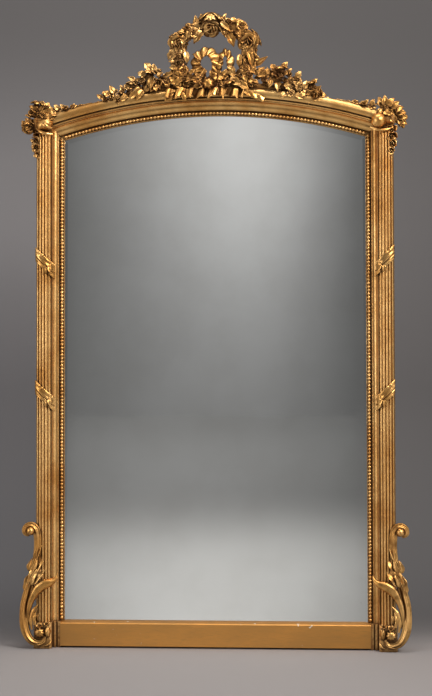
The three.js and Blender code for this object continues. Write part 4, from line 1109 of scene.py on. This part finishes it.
        trail = Carving()
        arc = [(side * x, 22, arc_height(x) + 2) for x in (500, 465, 420, 380)]
        stem(trail, arc, [8, 6, 4, 2], flatness=0.9)
        high = arc_height(450)
        set_blooms(trail, (
            (OPEN_FLOWER, (side * 488, 34, high - 2), 18, (0, 0.8, 0.6)),
            (BELL, (side * 462, 32, high + 2), 17, (0, 0.7, 0.7)),
            (BUD, (side * 440, 30, high + 8), 12, (0, 0.6, 0.8)),
        ), rng)
        set_leaves(trail, (
            ((side * 484, 30, high - 2), (side * 496, 38, high + 14), 15, 0.8, 1),
            ((side * 466, 30, high), (side * 476, 38, high + 14), 14, 0.7, 1),
            ((side * 448, 28, high + 6), (side * 428, 34, high + 12), 12, 0.6, 2),
            ((side * 426, 24, high + 8), (side * 402, 28, high + 14), 9, 0.5, 1),
        ), rng)
        trail.finish(f"arch_blossoms_{name}", CARVED, f"corner_trail_{name}")


# ---------------------------------------------------------------- feet
def build_feet():
    for side, name in SIDES:
        scroll = Carving()
        outer = [(570, 350), (583, 356), (580, 371), (563, 376), (548, 358), (545, 318), (549, 276),
                 (556, 240), (566, 205), (577, 165), (585, 128), (587, 92), (581, 57), (566, 30), (546, 19),
                 (527, 22), (519, 38)]
        stem(scroll, [(x, 43 + 16 * (1 - min(1, max(0, (z - 30) / 110))), z) for x, z in outer],
             [8, 11, 12, 13, 13, 12, 11.5, 12, 13, 15, 16, 16, 14, 12, 10, 8, 3], flute=0.5, flatness=0.95,
             rows=70, columns=28)
        scroll.add(*dome((567, 46, 361), (15, 15, 17), flutes=5, dent=0.12))
        horn = [(483, 229), (489, 214), (503, 204), (523, 197), (542, 184), (558, 160), (569, 130),
                (572, 98), (566, 72)]
        stem(scroll, [(x, 54, z) for x, z in horn], [1, 6, 12, 16, 15, 11, 8, 6, 3],
             flute=0.0, flatness=1.25, rows=44, columns=18)
        stem(scroll, [(560, 62, 60), (563, 60, 90), (556, 56, 118), (541, 54, 137)], [3, 6, 6, 1], flute=0.3,
             flatness=0.9, rows=24)
        stem(scroll, [(556, 42, 160), (542, 46, 168), (522, 48, 178)], [4, 3.5, 1], flatness=0.9)
        stem(scroll, [(551, 60, 74), (553, 58, 98), (547, 54, 120)], [5, 5, 1], flatness=0.9)
        rng = random.Random(51)
        set_leaves(scroll, (
            ((562, 44, 226), (529, 60, 288), 25, 0.9, 2), ((566, 46, 196), (527, 60, 250), 27, 0.9, 2),
            ((570, 48, 192), (553, 62, 250), 23, 0.8, 2), ((582, 46, 172), (574, 56, 232), 19, 0.7, 2),
            ((553, 46, 268), (538, 58, 322), 18, 0.8, 1), ((558, 48, 236), (548, 60, 292), 17, 0.7, 1),
            ((552, 50, 84), (540, 62, 108), 13, 0.5, 1), ((572, 44, 236), (567, 54, 274), 15, 0.7, 1),
        ), rng)
        scroll.finish(f"foot_scroll_{name}_leafed", AGED, f"foot_scroll_{name}", mirrored=side < 0)

        boss = Carving()
        boss.add(*dome((537, 54, 50), (19, 19, 18), flutes=9, dent=0.34))
        boss.add(*dome((513, 50, 52), (11, 22, 16), flutes=7, dent=0.26))
        aim = (0.1, 0.7, 0.7)
        set_blooms(boss, ((BELL, (537, 60, 70), 15, aim), (BELL, (515, 60, 76), 13, aim)), rng)
        stem(boss, [(520, 60, 24), (532, 64, 15), (548, 62, 12)], [2, 4, 2], flatness=0.9)
        stem(boss, [(502, 54, 26), (508, 58, 14), (520, 58, 9)], [2, 5, 2], flatness=0.9)
        boss.finish(f"foot_boss_{name}_fluted", AGED, f"foot_boss_{name}", mirrored=side < 0)


# ---------------------------------------------------------------- ribbon ties on the columns
def build_ties():
    for level in ("lower", "upper"):
        low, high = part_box(f"ribbon_{level}_right")
        middle = 500 * (low.z + high.z) + 4
        for side, name in SIDES:
            tie = Carving()

            def band(across, along, shift, drop, width, lift):
                x = 556 - 62 * along
                bulge = 15 * (1 - abs(2 * along - 0.86) ** 2.6)
                z = middle + 26 - 56 * along + width * (across - 0.5) * 1.25 + drop
                fold = 1.6 * math.sin(math.pi * across) + 1.2 * math.sin(math.tau * 1.5 * across + shift)
                return spot(x, 30 + max(bulge, -8) + lift + fold, z)

            def upper_fold(across, along):
                return band(across, along, 0.0, 7, 24, 5)

            def lower_fold(across, along):
                return band(across, along, 2.0, -14, 15, 2)

            tie.add(thick(skin(14, 7, upper_fold), 0.0035))
            tie.add(thick(skin(14, 5, lower_fold), 0.0035))
            for x, depth, z in ((548, 42, 40), (541, 47, 33), (532, 50, 26)):
                tie.add(*dome((x, depth, middle + z - 6), (5.5, 6, 5)))
            rng = random.Random(61)
            set_leaves(tie, (
                ((512, 48, middle - 14), (504, 52, middle - 38), 11, 0.5, 1),
                ((522, 50, middle - 18), (520, 54, middle - 40), 10, 0.6, 1),
                ((508, 46, middle - 6), (499, 44, middle - 24), 10, 0.5, 1),
            ), rng)
            tie.finish(f"ribbon_tie_{level}_{name}", CARVED, f"ribbon_{level}_{name}", mirrored=side < 0)


build_wreath()
build_bow()
build_mound()
build_ruffle()
build_garlands()
build_corners()
build_feet()
build_ties()


# ---------------------------------------------------------------- floor, backdrop, light and camera
NEAR_Y = -40.0  # front end of the floor, far behind the camera
WALL_Y = 1.1  # wall behind the mirror
SWEEP_RADIUS = 0.8  # from the floor up into the wall
WALL_RISE = 5.0
HALF_STUDIO = 30.0
FLOOR_TONE = (0.280, 0.255, 0.249)
# Painted light and shade on the wall: shaded at the foot, lit in the middle, shaded again at the top.
WALL_FOOT_SHADE, WALL_MIDDLE_LIGHT, WALL_TOP_SHADE = (0.161, 0.153, 0.156), (0.223, 0.211, 0.214), (0.102, 0.095, 0.095)
WALL_RIGHT_SHADE = (0.050, 0.046, 0.046)  # painted shade: the wall darkens towards this on the right
PAPER_FLECK = (0.20, 0.19, 0.185)
# Painted light and shade in the floor as the glass shows it: near the mirror, further off, furthest, in the
# dim bay, and at the sides.
GLASS_NEAR_LIGHT, GLASS_FAR_LIGHT, GLASS_FARTHEST_LIGHT = (0.56, 0.555, 0.55), (0.78, 0.775, 0.77), (0.63, 0.625, 0.62)
GLASS_DIM_SHADE, GLASS_SIDES_LIGHT = (0.0, 0.0, 0.0), (0.95, 0.94, 0.93)

CAMERA_PLACE = (0.3102, -4.4986, 0.7922)
CAMERA_TURN, CAMERA_TILT, CAMERA_ROLL = 3.875, 1.671, -0.126  # degrees
CAMERA_VIEW = 26.842  # degrees from top to bottom
SENSOR_HEIGHT = 24


def side_shade(bearing):
    """Dims what the glass shows on both sides of its middle, and lets go further out."""
    return (bearing * bearing * 36.0).math("MINIMUM", 0.47) * (1 - bearing.math("ABSOLUTE").ramp(0.14, 0.30))


def studio():
    """A pale floor that sweeps up into a grey wall behind the mirror, with painted light and shade on the
    wall and on the floor as the glass shows it. From behind, the sweep is clear.
    """
    bend_y = WALL_Y - SWEEP_RADIUS

    def place(across, along):
        x = HALF_STUDIO * (2 * across - 1)
        run = along * 3
        if run < 1:
            return Vector((x, NEAR_Y + (bend_y - NEAR_Y) * run, 0))
        if run < 2:
            angle = (run - 1) * math.pi / 2
            return Vector((x, bend_y + SWEEP_RADIUS * math.sin(angle), SWEEP_RADIUS * (1 - math.cos(angle))))
        return Vector((x, WALL_Y, SWEEP_RADIUS + WALL_RISE * (run - 2)))

    sweep = skin(60, 8, place)
    sweep.normal_update()
    if sum(face.normal.z for face in sweep.faces) < 0:
        bmesh.ops.reverse_faces(sweep, faces=sweep.faces)
    mesh = bpy.data.meshes.new("studio_sweep")
    sweep.to_mesh(mesh)
    sweep.free()
    mesh.shade_smooth()
    finish = new_finish("studio_paper")
    x, y, z = finish.axes(finish.place())
    tone = finish.noise(finish.place(), 1.5, 2)
    in_glass = finish.node("ShaderNodeLightPath", output="Is Glossy Ray")
    # Painted reflection: glossy rays see the floor with painted light and shade, varying with distance and
    # with bearing from the camera's place.
    bearing = (x - 0.31) / (4.5 - y) + 0.081
    far = finish.mix((y * -1.0).ramp(2.0, 9.0), GLASS_NEAR_LIGHT, GLASS_FAR_LIGHT)
    far = finish.mix((y * -1.0).ramp(9.0, 30.0), far, GLASS_FARTHEST_LIGHT)
    lit = finish.mix(side_shade(bearing), far, GLASS_DIM_SHADE)
    lit = finish.mix(bearing.math("ABSOLUTE").ramp(0.25, 0.60), lit, GLASS_SIDES_LIGHT)
    front = finish.mix(in_glass, FLOOR_TONE, lit)
    # Painted light and shade on the wall: by height, and darker towards the right.
    wall = finish.mix(z.ramp(0.15, 1.3), WALL_FOOT_SHADE, WALL_MIDDLE_LIGHT)
    wall = finish.mix(z.ramp(1.3, 2.3), wall, WALL_TOP_SHADE)
    wall = finish.mix(x.ramp(-0.9, 1.2) * 0.70, wall, WALL_RIGHT_SHADE)
    paper = finish.mix(y.ramp(0.06, 0.55), front, wall)
    paper = finish.mix(tone * 0.06, paper, PAPER_FLECK)
    behind = finish.node("ShaderNodeNewGeometry", output="Backfacing")
    clear = finish.node("ShaderNodeBsdfTransparent")
    sheet = finish.shader(base_color=paper, roughness=0.85)
    one_way = finish.node("ShaderNodeMixShader", sockets={0: behind, 1: sheet, 2: clear})
    mesh.materials.append(finish.shown(one_way))
    floor = bpy.data.objects.new("studio_sweep", mesh)
    bpy.context.scene.collection.objects.link(floor)


def softbox(name, position, target, width, height, power, color=(1, 1, 1)):
    light = bpy.data.lights.new(name, "AREA")
    light.shape = "RECTANGLE"
    light.size, light.size_y = width, height
    light.energy = power
    light.color = color
    lamp = bpy.data.objects.new(name, light)
    lamp.location = position
    lamp.rotation_euler = (Vector(target) - Vector(position)).to_track_quat("-Z", "Y").to_euler()
    bpy.context.scene.collection.objects.link(lamp)


def world_light():
    """Even grey light. In the glass it shows a soft glow high behind the camera that dies away all round."""
    world = bpy.data.worlds.new("studio_light")
    bpy.context.scene.world = world
    sky = Finish(world)
    x, y, z = sky.axes(sky.node("ShaderNodeTexCoord", output="Generated"))
    ahead = (y * -1.0).math("MAXIMUM", 0.05)
    bearing = x / ahead
    height = z / ahead
    aside = bearing + 0.042
    right = aside.math("MAXIMUM", 0.0)
    wide = aside * aside * 165.0 + right * right * 230.0
    above = height - 0.20
    tall = above * above * 57.0
    glow = ((wide + tall) * -1.0).math("EXPONENT")
    ambient = ((bearing * bearing + height * height) * -3.0).math("EXPONENT")
    seen = sky.node("ShaderNodeLightPath", output="Is Glossy Ray")
    flanks = x.math("ABSOLUTE").ramp(0.30, 0.85) * 0.36
    high = z.ramp(0.2, 0.95) * 0.50 + x.ramp(0.1, 0.9) * 0.12 + flanks
    mirror_view = glow * 0.54 + (ambient * 0.13 + 0.10) * (1 - side_shade(bearing + 0.082)) + high
    strength = mirror_view * seen + (1 - seen) * 0.38
    shader = sky.node("ShaderNodeBackground", sockets={"Color": (1.0, 0.985, 0.97, 1), "Strength": strength})
    sky.node("ShaderNodeOutputWorld", sockets={"Surface": shader})


def camera():
    data = bpy.data.cameras.new("camera")
    data.sensor_fit = "VERTICAL"
    data.sensor_height = SENSOR_HEIGHT
    data.lens = SENSOR_HEIGHT / (2 * math.tan(math.radians(CAMERA_VIEW) / 2))
    data.clip_end = 60
    view = bpy.data.objects.new("camera", data)
    view.matrix_world = (
        Matrix.Translation(CAMERA_PLACE) @ Matrix.Rotation(math.radians(CAMERA_TURN), 4, "Z")
        @ Matrix.Rotation(math.radians(90 + CAMERA_TILT), 4, "X")
        @ Matrix.Rotation(math.radians(CAMERA_ROLL), 4, "Z")
    )
    bpy.context.scene.collection.objects.link(view)
    bpy.context.scene.camera = view


studio()
world_light()
softbox("key_softbox", (2.3, -2.6, 3.2), (0, 0, 1.1), 1.3, 1.3, 135, (1.0, 0.97, 0.92))
softbox("fill_softbox", (-2.9, -2.4, 1.6), (0, 0, 1.0), 1.0, 1.8, 30)
softbox("left_strip", (-3.3, -1.5, 0.7), (0, 0, 0.6), 0.6, 1.6, 7)
softbox("right_strip", (3.3, -1.5, 0.7), (0, 0, 0.6), 0.6, 1.6, 7)
softbox("top_softbox", (0.2, -0.6, 4.2), (0, 0.1, 1.0), 1.8, 0.9, 42)
camera()
bpy.context.scene.view_settings.view_transform = "Standard"
